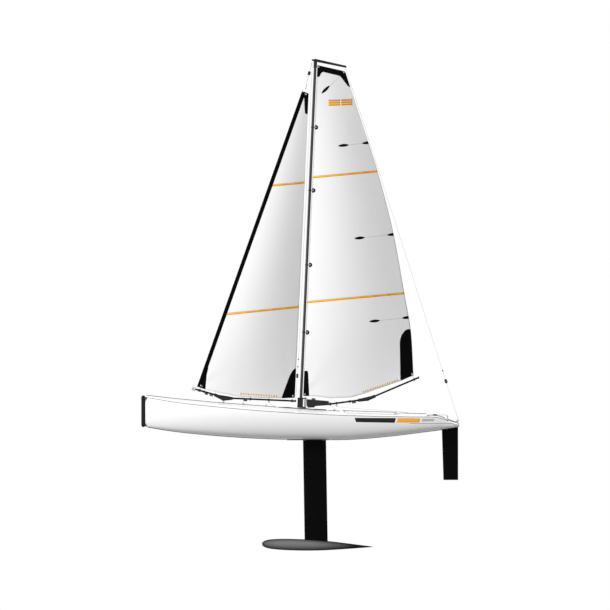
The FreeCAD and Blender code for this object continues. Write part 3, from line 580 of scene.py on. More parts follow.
class Palette:
    """Makes each finish once and hands it out."""

    made: dict[Paint, bpy.types.Material] = {}

    @classmethod
    def of(cls, paint: Paint) -> bpy.types.Material:
        """The material of a finish.

        Args:
            paint: the finish.

        Returns:
            The one material that all its pieces share.
        """
        if paint not in cls.made:
            cls.made[paint] = paint.value.make()
        return cls.made[paint]


NODE_PAINT: dict[Paint, tuple[str, ...]] = {
    Paint.HULL: ("hull_shell",),
    Paint.DECK: ("deck", "hatch_cover"),
    Paint.RUBBER: ("bow_bumper", "pushrod_boot"),
    Paint.WHITE_NYLON: (
        "keel_trunk", "tiller_arm", "sheave_bracket", "main_luff_eyelets",
        "rudder_servo_arm", "turning_sheave", "power_switch", "rudder_tube",
    ),
    Paint.BLACK_NYLON: (
        "keel_root_plate", "mast_base_plate", "mast_collars", "main_boom_end_cap",
        "jib_boom_end_cap", "jib_line_beads",
    ),
    Paint.FITTING: (
        "deck_fittings", "mast_foot", "masthead_crane", "boom_vang", "main_boom_elbow",
        "main_boom_rings", "jib_boom_elbow", "jib_boom_rings", "winch_drum", "backstay_bowsie",
        "topping_lift_bowsie",
    ),
    Paint.CASE: ("winch_case", "rudder_servo_case", "receiver", "switch_case"),
    Paint.TRAY: ("radio_tray", "battery_cradle"),
    Paint.FIN: ("keel_fin", "rudder_blade"),
    Paint.BULB: ("ballast_bulb",),
    Paint.CELL: ("battery_cells",),
    Paint.MAST: ("mast_tube",),
    Paint.BOOM: ("main_boom_tubes", "jib_boom_tubes"),
    Paint.STEEL: (
        "keel_screws", "gooseneck_pin", "tray_screws", "gooseneck_sleeve", "jib_counterweight",
        "jib_head_swivel", "rudder_pushrod", "rudder_stock",
    ),
    Paint.DARK_LINE: ("jib_halyard", "sheet_loop"),
}


def paint_nodes() -> None:
    """Give every CAD node that stays in view its finish."""
    for paint, names in NODE_PAINT.items():
        for name in names:
            data = frame["nodes"][name].data
            data.materials.clear()
            data.materials.append(Palette.of(paint))


# ---------------------------------------------------------------- mesh tools


def in_scene(name: str, data: bpy.types.ID) -> bpy.types.Object:
    """Make an object of some data and put it in the scene.

    Args:
        name: the object's name.
        data: its mesh, curve, light or camera.

    Returns:
        The object.
    """
    made = bpy.data.objects.new(name, data)
    bpy.context.scene.collection.objects.link(made)
    return made


def baked(host: bpy.types.Object) -> bpy.types.Mesh:
    """Work an object out as a plain mesh and remove the object.

    Args:
        host: the curve, or the mesh with modifiers.

    Returns:
        The plain mesh.
    """
    shown = host.evaluated_get(bpy.context.evaluated_depsgraph_get())
    mesh = bpy.data.meshes.new_from_object(shown)
    bpy.data.objects.remove(host)
    return mesh


def finished(name: str, mesh: bpy.types.Mesh, body: str | None) -> bpy.types.Object:
    """Make a smooth shaded piece of a mesh and report it.

    Args:
        name: the piece's name.
        mesh: its mesh, with its finish.
        body: the body it rides on, or None to leave it on no body.

    Returns:
        The piece.
    """
    mesh.polygons.foreach_set("use_smooth", [True] * len(mesh.polygons))
    mesh.update()
    piece = in_scene(name, mesh)
    if body:
        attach(piece, body)
    LOG.info("%s: %d faces", name, len(mesh.polygons))
    return piece


def mesh_piece(
    name: str, shapes: Sequence[Shape], paint: Paint, body: str | None
) -> bpy.types.Object:
    """Make one mesh piece of one or more shapes.

    Args:
        name: the piece's name.
        shapes: the points and faces of each.
        paint: their finish.
        body: the body the piece rides on, or None to leave it on no body.

    Returns:
        The piece.
    """
    points, faces = [], []
    for shape_points, shape_faces in shapes:
        base = len(points)
        points += [tuple(p) for p in shape_points]
        faces += [tuple(base + i for i in face) for face in shape_faces]
    mesh = bpy.data.meshes.new(name)
    mesh.from_pydata(points, [], faces)
    mesh.materials.append(Palette.of(paint))
    return finished(name, mesh, body)


def between(start: Point, stop: Point, share: float) -> Point:
    """The place a share of the way from one place to another."""
    return start[0] + (stop[0] - start[0]) * share, start[1] + (stop[1] - start[1]) * share


def eased(a: Vector, b: Vector, c: Vector, d: Vector, t: float) -> Vector:
    """A place on the smooth curve from b to c, between a before them and d behind."""
    return 0.5 * (2 * b + (c - a) * t + (2 * a - 5 * b + 4 * c - d) * t * t
                  + (3 * b - a - 3 * c + d) * t ** 3)


def smooth_through(points: Sequence[Vector], steps: int) -> list[Vector]:
    """Points along a smooth curve that passes through the given ones.

    Args:
        points: the points it passes through.
        steps: how many points each stretch gets.

    Returns:
        The points of the curve, ends included.
    """
    ends = [points[0] * 2 - points[1], *points, points[-1] * 2 - points[-2]]
    spans = zip(ends, ends[1:], ends[2:], ends[3:])
    return [eased(*span, i / steps) for span in spans for i in range(steps)] + [points[-1]]


def nurbs_line(route: Sequence[Vector]) -> list[Vector]:
    """Points read along the smooth line of a route.

    Args:
        route: the line's control points.

    Returns:
        The points, ends included.
    """
    curve = bpy.data.curves.new("route", "CURVE")
    curve.dimensions = "3D"
    curve.resolution_u = 16
    spline = curve.splines.new("NURBS")
    spline.points.add(len(route) - 1)
    for control, place in zip(spline.points, route):
        control.co = (*place, 1.0)
    spline.order_u = 3
    spline.use_endpoint_u = True
    mesh = baked(in_scene("route", curve))
    points = [v.co.copy() for v in mesh.vertices]
    bpy.data.meshes.remove(mesh)
    return points


def rounded_outline(outline: Sequence[Point], radius: float, step: float) -> list[Vector]:
    """An outline with eased corners, cut into short stretches.

    Args:
        outline: its corners, in order.
        radius: how far each corner is cut back.
        step: the longest stretch.

    Returns:
        The points, in the same order.
    """
    corners = [Vector(p) for p in outline]
    softened: list[Vector] = []
    neighbours = zip(corners[-1:] + corners[:-1], corners, corners[1:] + corners[:1])
    for before, corner, after in neighbours:
        back, ahead = before - corner, after - corner
        cut = min(radius, 0.45 * back.length, 0.45 * ahead.length)
        if cut < SHARPEST:
            softened.append(corner)
            continue
        start = corner + back.normalized() * cut
        stop = corner + ahead.normalized() * cut
        for t in (0.0, 0.25, 0.5, 0.75, 1.0):
            softened.append(start * (1 - t) ** 2 + corner * 2 * t * (1 - t) + stop * t * t)
    cut_up = []
    for a, b in zip(softened, softened[1:] + softened[:1]):
        pieces = max(1, math.ceil((b - a).length / step))
        cut_up += [a.lerp(b, i / pieces) for i in range(pieces)]
    return cut_up


def inside(x: float, z: float, outline: Sequence[Vector]) -> bool:
    """Whether a place lies within an outline.

    Args:
        x: the place's distance towards the bow.
        z: its height.
        outline: the closed outline.

    Returns:
        True if it does.
    """
    within = False
    for a, b in zip(outline, list(outline[1:]) + [outline[0]]):
        if (a.y > z) != (b.y > z) and x < a.x + (z - a.y) * (b.x - a.x) / (b.y - a.y):
            within = not within
    return within


def grid_faces(rows: int, columns: int) -> list[tuple[int, ...]]:
    """The faces of an open grid of points, row after row.

    Args:
        rows: how many faces high it is.
        columns: how many faces wide it is.

    Returns:
        The faces.
    """
    step = columns + 1
    starts = (i * step + j for i in range(rows) for j in range(columns))
    return [(a, a + 1, a + step + 1, a + step) for a in starts]


def tube_faces(rows: int, sides: int) -> list[tuple[int, ...]]:
    """The faces of a closed stack of rings of points.

    Args:
        rows: how many stretches there are from ring to ring.
        sides: how many points each ring has.

    Returns:
        The faces round the sides, then both ends.
    """
    faces = []
    for i in range(rows):
        for j in range(sides):
            k = (j + 1) % sides
            faces.append((i * sides + j, i * sides + k, (i + 1) * sides + k, (i + 1) * sides + j))
    return faces + [tuple(reversed(range(sides))), tuple(rows * sides + j for j in range(sides))]


def turned_mesh(profile: Sequence[Point], place: Vector, axis: Vector, sides: int = 20) -> Shape:
    """A solid turned about an axis.

    Args:
        profile: its radius and height at each step, from the bottom up.
        place: where its height is nought.
        axis: the way it stands.
        sides: how many sides it has.

    Returns:
        Its points and faces, closed at both ends.
    """
    turn = axis.to_track_quat("Z", "Y").to_matrix()
    points = []
    for radius, height in profile:
        for j in range(sides):
            a = math.tau * j / sides
            local = Vector((radius * math.cos(a), radius * math.sin(a), height))
            points.append(place + turn @ local)
    return points, tube_faces(len(profile) - 1, sides)


def ring_mesh(centre: Vector, axis: Vector, radius: float, wire: float) -> Shape:
    """A round ring of round wire.

    Args:
        centre: its middle.
        axis: the way through it.
        radius: to the middle of the wire.
        wire: the wire's radius.

    Returns:
        Its points and faces.
    """
    turn = axis.to_track_quat("Z", "Y").to_matrix()
    rim, tube = 28, 10
    points, faces = [], []
    for i in range(rim):
        a = math.tau * i / rim
        for j in range(tube):
            b = math.tau * j / tube
            reach = radius + wire * math.cos(b)
            local = Vector((reach * math.cos(a), reach * math.sin(a), wire * math.sin(b)))
            points.append(centre + turn @ local)
            faces.append(
                (i * tube + j, ((i + 1) % rim) * tube + j,
                 ((i + 1) % rim) * tube + (j + 1) % tube, i * tube + (j + 1) % tube)
            )
    return points, faces


def tube_mesh(route: Sequence[Vector], radius: float, sides: int = 8) -> Shape:
    """A closed round tube along a route.

    Args:
        route: the points down its middle.
        radius: its radius.
        sides: how many sides it has.

    Returns:
        Its points and faces, with both ends closed.
    """
    points = []
    across = (route[1] - route[0]).orthogonal().normalized()
    for i, place in enumerate(route):
        ahead = (route[min(i + 1, len(route) - 1)] - route[max(i - 1, 0)]).normalized()
        across = (across - ahead * across.dot(ahead)).normalized()
        other = ahead.cross(across)
        for j in range(sides):
            a = math.tau * j / sides
            points.append(place + (across * math.cos(a) + other * math.sin(a)) * radius)
    return points, tube_faces(len(route) - 1, sides)


def meeting(skin: BVHTree, place: Vector, way: Vector) -> Vector | None:
    """Where a ray through a place of the middle first meets a surface."""
    return skin.ray_cast(place - way * RAY_REACH, way)[0]


class RepeatTree:
    """A Geometry Nodes tree that sets small closed beads of thread along a path."""

    def __init__(self, name: str) -> None:
        """Build the tree with its named inputs.

        Args:
            name: the tree's name.
        """
        self.tree = bpy.data.node_groups.new(name, "GeometryNodeTree")
        face = self.tree.interface
        face.new_socket("Geometry", in_out="INPUT", socket_type="NodeSocketGeometry")
        self.ids = {}
        for label, value in (("Pitch", 0.003), ("Length", 0.0016), ("Width", 0.0004)):
            socket = face.new_socket(label, in_out="INPUT", socket_type="NodeSocketFloat")
            socket.default_value = value
            self.ids[label] = socket.identifier
        paint = face.new_socket("Paint", in_out="INPUT", socket_type="NodeSocketMaterial")
        self.ids["Paint"] = paint.identifier
        face.new_socket("Geometry", in_out="OUTPUT", socket_type="NodeSocketGeometry")
        self._wire()

    def _add(self, kind: str, links: dict[str, Any], **settings: Any) -> bpy.types.Node:
        """Add a node.

        Args:
            kind: the node's type.
            links: what its inputs are linked to or set to.
            settings: attributes that are set first.

        Returns:
            The node.
        """
        made = self.tree.nodes.new(kind)
        for key, value in settings.items():
            setattr(made, key, value)
        for key, value in links.items():
            if isinstance(value, bpy.types.NodeSocket):
                self.tree.links.new(value, made.inputs[key])
            else:
                made.inputs[key].default_value = value
        return made

    def _wire(self) -> None:
        """Lay out the nodes: path, even points, turned beads, one mesh with its finish."""
        start = self._add("NodeGroupInput", {}).outputs
        path = self._add("GeometryNodeMeshToCurve", {"Mesh": start["Geometry"]})
        even = self._add(
            "GeometryNodeResampleCurve",
            {"Curve": path.outputs[0], "Length": start["Pitch"]}, mode="LENGTH",
        )
        bead = self._add("GeometryNodeMeshUVSphere", {"Segments": 6, "Rings": 4, "Radius": 0.5})
        size = self._add(
            "ShaderNodeCombineXYZ", {"X": start["Width"], "Y": start["Width"], "Z": start["Length"]}
        )
        heading = self._add("GeometryNodeInputTangent", {})
        turn = self._add(
            "FunctionNodeAlignRotationToVector", {"Vector": heading.outputs[0]}, axis="Z"
        )
        sown = self._add(
            "GeometryNodeInstanceOnPoints",
            {"Points": even.outputs[0], "Instance": bead.outputs[0],
             "Rotation": turn.outputs[0], "Scale": size.outputs[0]},
        )
        real = self._add("GeometryNodeRealizeInstances", {"Geometry": sown.outputs[0]})
        done = self._add(
            "GeometryNodeSetMaterial", {"Geometry": real.outputs[0], "Material": start["Paint"]}
        )
        end = self._add("NodeGroupOutput", {})
        self.tree.links.new(done.outputs[0], end.inputs[0])

    def sow(
        self, name: str, paths: Sequence[Sequence[Vector]], paint: Paint, body: str,
        pitch: float, length: float, width: float,
    ) -> bpy.types.Object:
        """Set beads along paths.

        Args:
            name: the piece's name.
            paths: the paths that the beads follow.
            paint: their finish.
            body: the body the piece rides on.
            pitch: from bead to bead.
            length: of one bead, along the path.
            width: of one bead.

        Returns:
            The finished plain mesh.
        """
        points, edges = [], []
        for path in paths:
            base = len(points)
            points += [tuple(p) for p in path]
            edges += [(base + i, base + i + 1) for i in range(len(path) - 1)]
        mesh = bpy.data.meshes.new(name + "_path")
        mesh.from_pydata(points, edges, [])
        host = in_scene(name + "_path", mesh)
        modifier = host.modifiers.new("beads", "NODES")
        modifier.node_group = self.tree
        inputs = {"Pitch": pitch, "Length": length, "Width": width, "Paint": Palette.of(paint)}
        for label, value in inputs.items():
            modifier[self.ids[label]] = value
        return finished(name, baked(host), body)


# ---------------------------------------------------------------- sails


@dataclass
class Patch:
    """A cloth patch: its outline in the sail's plane, its eased corners and its finish."""

    outline: list[Point]
    corner: float = 0.0
    paint: Paint = Paint.PATCH
    step: float = 0.004

    def mesh2d(self) -> Shape:
        """Fill the outline with small even triangles, counter-clockwise.

        Returns:
            The points in the sail's plane and the triangles.
        """
        step = self.step
        edge = rounded_outline(self.outline, self.corner, step)
        low_x, low_z = min(p.x for p in edge), min(p.y for p in edge)
        wide, tall = max(p.x for p in edge) - low_x, max(p.y for p in edge) - low_z
        fill = []
        for i in range(1, int(wide / step) + 1):
            for j in range(1, int(tall / step) + 1):
                x, z = low_x + i * step, low_z + j * step
                near = min((p.x - x) ** 2 + (p.y - z) ** 2 for p in edge)
                if near > (0.4 * step) ** 2 and inside(x, z, edge):
                    fill.append(Vector((x, z)))
        rim = list(range(len(edge)))
        result = delaunay_2d_cdt(edge + fill, [], [rim], 1, 1e-7)
        return list(result[0]), [tuple(f) for f in result[2]]


@dataclass
class Sail:
    """A thin bellied sail with its patches, seams, battens and eyelets."""

    name: str
    node: str
    body: str
    luff: list[Point]
    leech: list[Point]
    depth: list[float]
    foot_drop: list[Point]
    patches: list[Patch]
    seams: list[tuple[Point, Point]]
    eyelets: list[Point]
    flat_area: float
    rows: int = 220
    columns: int = 90
    film: float = 0.0004
    glue: float = 0.00005
    patch_thick: float = 0.00018
    seam_thick: float = 0.00012
    seam_width: float = 0.0070
    stitch_offset: float = 0.0022
    stitch_lift: float = 0.0002
    stitch_pitch: float = 0.0034
    stitch_length: float = 0.0024
    stitch_width: float = 0.0004
    ring_radius: float = 0.0020
    ring_wire: float = 0.0006
    crease: float = 0.0014
    flutter: float = 0.0010
    surface: BVHTree | None = None

    def _blend_rows(self, values: Sequence[Vector], share: float) -> Vector:
        """A smooth value up the sail.

        Args:
            values: the values at its rows, from foot to head.
            share: the height, as a share of the sail's.

        Returns:
            The value there.
        """
        place = share * (len(values) - 1)
        i = min(int(place), len(values) - 2)
        b, c = values[i], values[i + 1]
        a = values[i - 1] if i else b * 2 - c
        d = values[i + 2] if i + 2 < len(values) else c * 2 - b
        return eased(a, b, c, d, place - i)

    def _drop(self, u: float) -> float:
        """How far the foot hangs below the straight line from tack to clew.

        Args:
            u: from the luff, 0, to the leech, 1.

        Returns:
            The drop.
        """
        for (u0, d0), (u1, d1) in zip(self.foot_drop, self.foot_drop[1:]):
            if u0 <= u <= u1:
                t = (u - u0) / (u1 - u0)
                return d0 + (d1 - d0) * (t * t * (3 - 2 * t) * 0.35 + t * 0.65)
        return 0.0

    def point(self, u: float, v: float) -> Vector:
        """The middle of the film at a place.

        Args:
            u: from the luff, 0, to the leech, 1.
            v: from the foot, 0, to the head, 1.

        Returns:
            The point, bellied to port.
        """
        luff = self._blend_rows([Vector((x, 0, z)) for x, z in self.luff], v)
        leech = self._blend_rows([Vector((x, 0, z)) for x, z in self.leech], v)
        depth = self._blend_rows([Vector((d, 0, 0)) for d in self.depth], v).x
        chord = (leech - luff).length
        place = luff.lerp(leech, u)
        place.y = depth * chord * math.sin(math.pi * u ** 0.9)
        fade = max(0.0, 1 - v * (len(self.luff) - 1)) ** 2
        place.z -= self._drop(u) * fade
        place.y += self._creases(u, v, chord)
        return place

    def _creases(self, u: float, v: float, chord: float) -> float:
        """Soft creases that fan out of the lower corners and lie along the leech.

        Args:
            u: from the luff, 0, to the leech, 1.
            v: from the foot, 0, to the head, 1.
            chord: the sail's width there.

        Returns:
            How far the film stands out to port.
        """
        w = 1 - u
        tack = math.exp(-((u * 3.2) ** 2) - (v * 7.0) ** 2) * min(1.0, u * u * 60 + v * v * 500)
        clew = math.exp(-((w * 3.0) ** 2) - (v * 8.0) ** 2) * min(1.0, w ** 2 * 60 + v * v * 500)
        fan = math.sin(9.0 * math.atan2(v * 2.4 + 0.001, u + 0.02))
        fan_aft = math.sin(10.0 * math.atan2(v * 2.4 + 0.001, 1.02 - u))
        edge = math.exp(-(w * 14.0) ** 2) * math.sin(v * 34.0)
        corners = self.crease * tack * fan + self.crease * clew * fan_aft
        return chord * (corners + self.flutter * edge)

    def cloth(self) -> bpy.types.Object:
        """Returns:
            The piece.
        """
        points, faces = [], []
        for side in (1, -1):
            for i in range(self.rows + 1):
                for j in range(self.columns + 1):
                    place = self.point(j / self.columns, i / self.rows)
                    points.append(place + Vector((0, side * self.film / 2, 0)))
        step = self.columns + 1
        back = step * (self.rows + 1)
        for quad in grid_faces(self.rows, self.columns):
            faces += [quad, tuple(back + k for k in reversed(quad))]
        rim = [j for j in range(self.columns)] + [i * step + self.columns for i in range(self.rows)]
        rim += [self.rows * step + self.columns - j for j in range(self.columns)]
        rim += [(self.rows - i) * step for i in range(self.rows)]
        for a, b in zip(rim, rim[1:] + rim[:1]):
            faces.append((b, a, back + a, back + b))
        piece = mesh_piece(self.name + "_cloth", [(points, faces)], Paint.SAIL, self.body)
        half = len(points) // 2
        middle = [p - Vector((0, self.film / 2, 0)) for p in points[:half]]
        self.surface = BVHTree.FromPolygons(middle, [f for f in faces if max(f) < half])
        self._check_outward(piece)
        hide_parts(self.node)
        width = max(abs(a[0] - b[0]) for a, b in zip(self.luff, self.leech))
        height = max(p.z for p in points) - min(p.z for p in points)
        wide = max(width, self.flat_area / height + 0.001)
        return piece

    def _check_outward(self, piece: bpy.types.Object) -> None:
        """Turn the faces round if the film was wound inside out.

        Args:
            piece: the film.
        """
        first = piece.data.polygons[0]
        if first.normal.y < 0:
            piece.data.flip_normals()

    def on_cloth(self, x: float, z: float, side: int, lift: float) -> Vector:
        """A place on one face of the film.

        Args:
            x: the place's distance towards the bow.
            z: its height.
            side: 1 for port, -1 for starboard.
            lift: how far it stands off the middle of the film.

        Returns:
            The point.
        """
        hit = self.surface.ray_cast(Vector((x, 1.0, z)), Vector((0, -1, 0)))[0]
        if hit is None:
            hit = self.surface.find_nearest(Vector((x, 0, z)))[0]
        return Vector((hit.x, hit.y + side * lift, hit.z))

    def applied(self, patches: Sequence[Patch], name: str, thick: float) -> None:
        """Lay patches on both faces of the film, one piece for each finish.

        Args:
            patches: what is laid on.
            name: the start of each piece's name.
            thick: the patches' thickness.
        """
        for paint in dict.fromkeys(p.paint for p in patches):
            slabs = []
            for patch in (p for p in patches if p.paint is paint):
                slabs += [self._slab(patch, side, thick) for side in (1, -1)]
            mesh_piece(f"{name}_{paint.name.lower()}", slabs, paint, self.body)

    def _slab(self, patch: Patch, side: int, thick: float) -> Shape:
        """One patch on one face, as a thin closed slab that follows the belly.

        Args:
            patch: the patch.
            side: 1 for port, -1 for starboard.
            thick: the patch's thickness.

        Returns:
            Its points and faces.
        """
        flat, triangles = patch.mesh2d()
        lift = self.film / 2 + self.glue
        levels = (lift, lift + thick)
        points = [self.on_cloth(p.x, p.y, side, level) for level in levels for p in flat]
        count = len(flat)
        outer = [t if side < 0 else tuple(reversed(t)) for t in triangles]
        faces = [tuple(count + k for k in t) for t in outer]
        faces += [tuple(reversed(t)) for t in outer]
        used = {(a, b) for t in outer for a, b in zip(t, t[1:] + t[:1])}
        for a, b in used:
            if (b, a) not in used:
                faces.append((count + b, count + a, a, b))
        return points, faces

    def seam_patches(self) -> list[Patch]:
        """A band of cloth over each seam.

        Returns:
            The patches.
        """
        half = self.seam_width / 2
        bands = [
            [(x0, z0 - half), (x1, z1 - half), (x1, z1 + half), (x0, z0 + half)]
            for (x0, z0), (x1, z1) in self.seams
        ]
        return [Patch(band, 0.0, Paint.ORANGE) for band in bands]

    def seam_paths(self) -> list[list[Vector]]:
        """Where the stitches run, beside both edges of each seam on both faces.

        Returns:
            The paths, which stop just short of the sail's edges.
        """
        lift = self.film / 2 + self.glue + self.stitch_lift
        paths = []
        for seam in self.seams:
            for side in (1, -1):
                for shift in (-self.stitch_offset, self.stitch_offset):
                    spots = [between(*seam, 0.01 + 0.98 * i / 60) for i in range(61)]
                    paths.append([self.on_cloth(x, z + shift, side, lift) for x, z in spots])
        return paths

    def rings(
        self, name: str, places: Sequence[Point], radius: float, wire: float, paint: Paint
    ) -> bpy.types.Object:
        """Pressed rings on both faces of the film.

        Args:
            name: the piece's name.
            places: their middles in the sail's plane.
            radius: to the middle of the wire.
            wire: the wire's radius.
            paint: their finish.

        Returns:
            The piece.
        """
        shapes = []
        for x, z in places:
            for side in (1, -1):
                centre = self.on_cloth(x, z, side, self.film / 2 + wire * 0.8)
                shapes.append(ring_mesh(centre, Vector((0, 1, 0)), radius, wire))
        return mesh_piece(name, shapes, paint, self.body)

    def dress(self, threads: RepeatTree) -> None:
        """Build the film and everything that is laid on it.

        Args:
            threads: the tree that sows the stitches.
        """
        self.cloth()
        self.applied(self.patches, self.name + "_patch", self.patch_thick)
        self.applied(self.seam_patches(), self.name + "_seam", self.seam_thick)
        threads.sow(
            self.name + "_stitches", self.seam_paths(), Paint.PALE, self.body,
            self.stitch_pitch, self.stitch_length, self.stitch_width,
        )
        self.rings(
            self.name + "_corner_rings", self.eyelets, self.ring_radius, self.ring_wire, Paint.STEEL
        )


@dataclass
class LuffSleeve:
    """The cloth sleeve that wraps the jib's luff wire and is sewn down behind it."""

    sail: Sail
    rows: int = 260
    nose: float = 0.0024
    ahead: float = 0.0017
    tail: float = 0.0084

    def section(self, x: float, z: float) -> list[Vector]:
        """The sleeve's outline at one height, round in front and tapered behind.

        Args:
            x: the luff's distance towards the bow.
            z: the height.

        Returns:
            The outline's points.
        """
        ring = []
        for i in range(15):
            a = math.radians(-118 + 236 * i / 14)
            reach, out = self.nose * math.cos(a), self.nose * math.sin(a)
            ring.append(Vector((x + self.ahead + reach, out, z)))
        for back, spread in ((0.55, 0.0010), (1.0, 0.00050)):
            for side in (1, -1):
                place = self.sail.on_cloth(x - self.tail * back, z, side, spread)
                ring.insert(len(ring) if side > 0 else 0, place)
        return ring

    def build(self) -> bpy.types.Object:
        """Build the sleeve from tack to head and let it stand for its CAD tube.

        Returns:
            The piece.
        """
        tack, head = self.sail.luff[0], self.sail.luff[-1]
        heights = [0.0015 + 0.997 * i / self.rows for i in range(self.rows + 1)]
        rings = [self.section(*between(tack, head, t)) for t in heights]
        width = len(rings[0])
        points = [p for ring in rings for p in ring]
        shape = points, tube_faces(self.rows, width)
        piece = mesh_piece("jib_luff_pocket", [shape], Paint.PATCH, self.sail.body)
        nose = piece.data.polygons[(self.rows // 2) * width + width // 2]
        if nose.normal.x < 0:
            piece.data.flip_normals()
        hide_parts("jib_luff_sleeve")
        return piece


BATTEN_HALF, STRIP_HALF = 0.0042, 0.0005


def almond(start: Point, stop: Point, half_width: float, share: float = 1.0) -> Patch:
    """A dark almond along a batten.

    Args:
        start: its pointed end.
        stop: its other end.
        half_width: half its greatest width.
        share: how much of it is kept, measured from its start.

    Returns:
        The patch.
    """
    run = Vector(stop) - Vector(start)
    side = Vector((-run.y, run.x)).normalized()
    places = []
    for i in range(11):
        t = i / 10
        swell = half_width * math.sin(math.pi * min(0.98, max(0.02, t * share))) ** 0.6
        places.append((Vector(start) + run * t, side * swell))
    outline = [tuple(p + w) for p, w in places] + [tuple(p - w) for p, w in reversed(places)]
    return Patch(outline)


def strip(start: Point, stop: Point, half_width: float) -> Patch:
    """A pale narrow strip along a batten.

    Args:
        start: its inner end.
        stop: its outer end.
        half_width: half its width.

    Returns:
        The patch.
    """
    run = Vector(stop) - Vector(start)
    side = Vector((-run.y, run.x)).normalized() * half_width
    ends = (Vector(start) - side, Vector(stop) - side, Vector(stop) + side, Vector(start) + side)
    return Patch([tuple(p) for p in ends], 0.0, Paint.PALE)


def pocket(inner: Point, outer: Point, leech: Point) -> list[Patch]:
    """A batten pocket: a dark almond, a pale strip and a dark tab at the leech.

    Args:
        inner: the almond's inner end.
        outer: the almond's outer end.
        leech: where the batten meets the leech.

    Returns:
        The patches.
    """
    tab = 0.0190
    run = (Vector(leech) - Vector(outer)).normalized()
    start = Vector(leech) - run * tab
    return [
        almond(inner, outer, BATTEN_HALF),
        strip(outer, tuple(start), STRIP_HALF),
        almond(tuple(start), leech, BATTEN_HALF, 0.6),
    ]


def disc(x: float, z: float, radius: float, luff_x: float) -> Patch:
    """A round patch on the luff, cut off at the sail's edge.

    Args:
        x: its middle's distance towards the bow.
        z: its middle's height.
        radius: its radius.
        luff_x: how far towards the bow the sail reaches there.

    Returns:
        The patch.
    """
    angles = [math.tau * i / 24 for i in range(24)]
    outline = [(min(luff_x, x + radius * math.cos(a)), z + radius * math.sin(a)) for a in angles]
    kept = [p for i, p in enumerate(outline) if p[0] < luff_x or outline[i - 1][0] < luff_x
            or outline[(i + 1) % 24][0] < luff_x]
    return Patch(kept)


def dashes(start: Point, stop: Point, count: int, height: float) -> list[Patch]:
    """A row of plain dashes along a line.

    Args:
        start: where the row starts.
        stop: where it stops.
        count: how many dashes it has.
        height: of one dash.

    Returns:
        The patches.
    """
    marks = []
    run = Vector(stop) - Vector(start)
    rise = Vector((0, height))
    for i in range(count):
        low = Vector(start) + run * ((i + 0.12) / count)
        high = Vector(start) + run * ((i + 0.66) / count)
        outline = [tuple(p) for p in (low, high, high + rise, low + rise)]
        marks.append(Patch(outline, 0.0008, Paint.FOOT_ORANGE))
    return marks


def number_bars(fore: Point, width: float, height: float, rise: float) -> list[Patch]:
    """Two plain blocks of three bars where a sail number goes.

    Args:
        fore: the lower fore corner of the first block.
        width: of one block.
        height: of the blocks.
        rise: how far the row climbs over the two blocks.

    Returns:
        The patches.
    """
    bars = []
    gap, bar = 0.0027, height * 0.30
    slope = rise / (2 * width + gap)
    for block in range(2):
        x0 = fore[0] - block * (width + gap)
        for row in range(3):
            z0 = fore[1] + row * (height - bar) / 2 + (fore[0] - x0) * slope
            x1, z1 = x0 - width, z0 + width * slope
            outline = [(x0, z0), (x1, z1), (x1, z1 + bar), (x0, z0 + bar)]
            bars.append(Patch(outline, 0.0018, Paint.ORANGE))
    return bars


@dataclass
class MastLine:
    """The mast's axis, which rakes aft."""

    foot: Vector = field(default_factory=lambda: Vector((0.0418, 0, 0.094)))
    top: Vector = field(default_factory=lambda: Vector((-0.0024, 0, 1.1204)))
    luff_offset: float = 0.0064

    def x(self, z: float, aft: float = 0.0) -> float:
        """How far towards the bow the axis is at a height, less a distance aft."""
        t = (z - self.foot.z) / (self.top.z - self.foot.z)
        return self.foot.x + (self.top.x - self.foot.x) * t - aft


MAST = MastLine()
COLLARS = (0.320, 0.5215, 0.744, 0.9325)


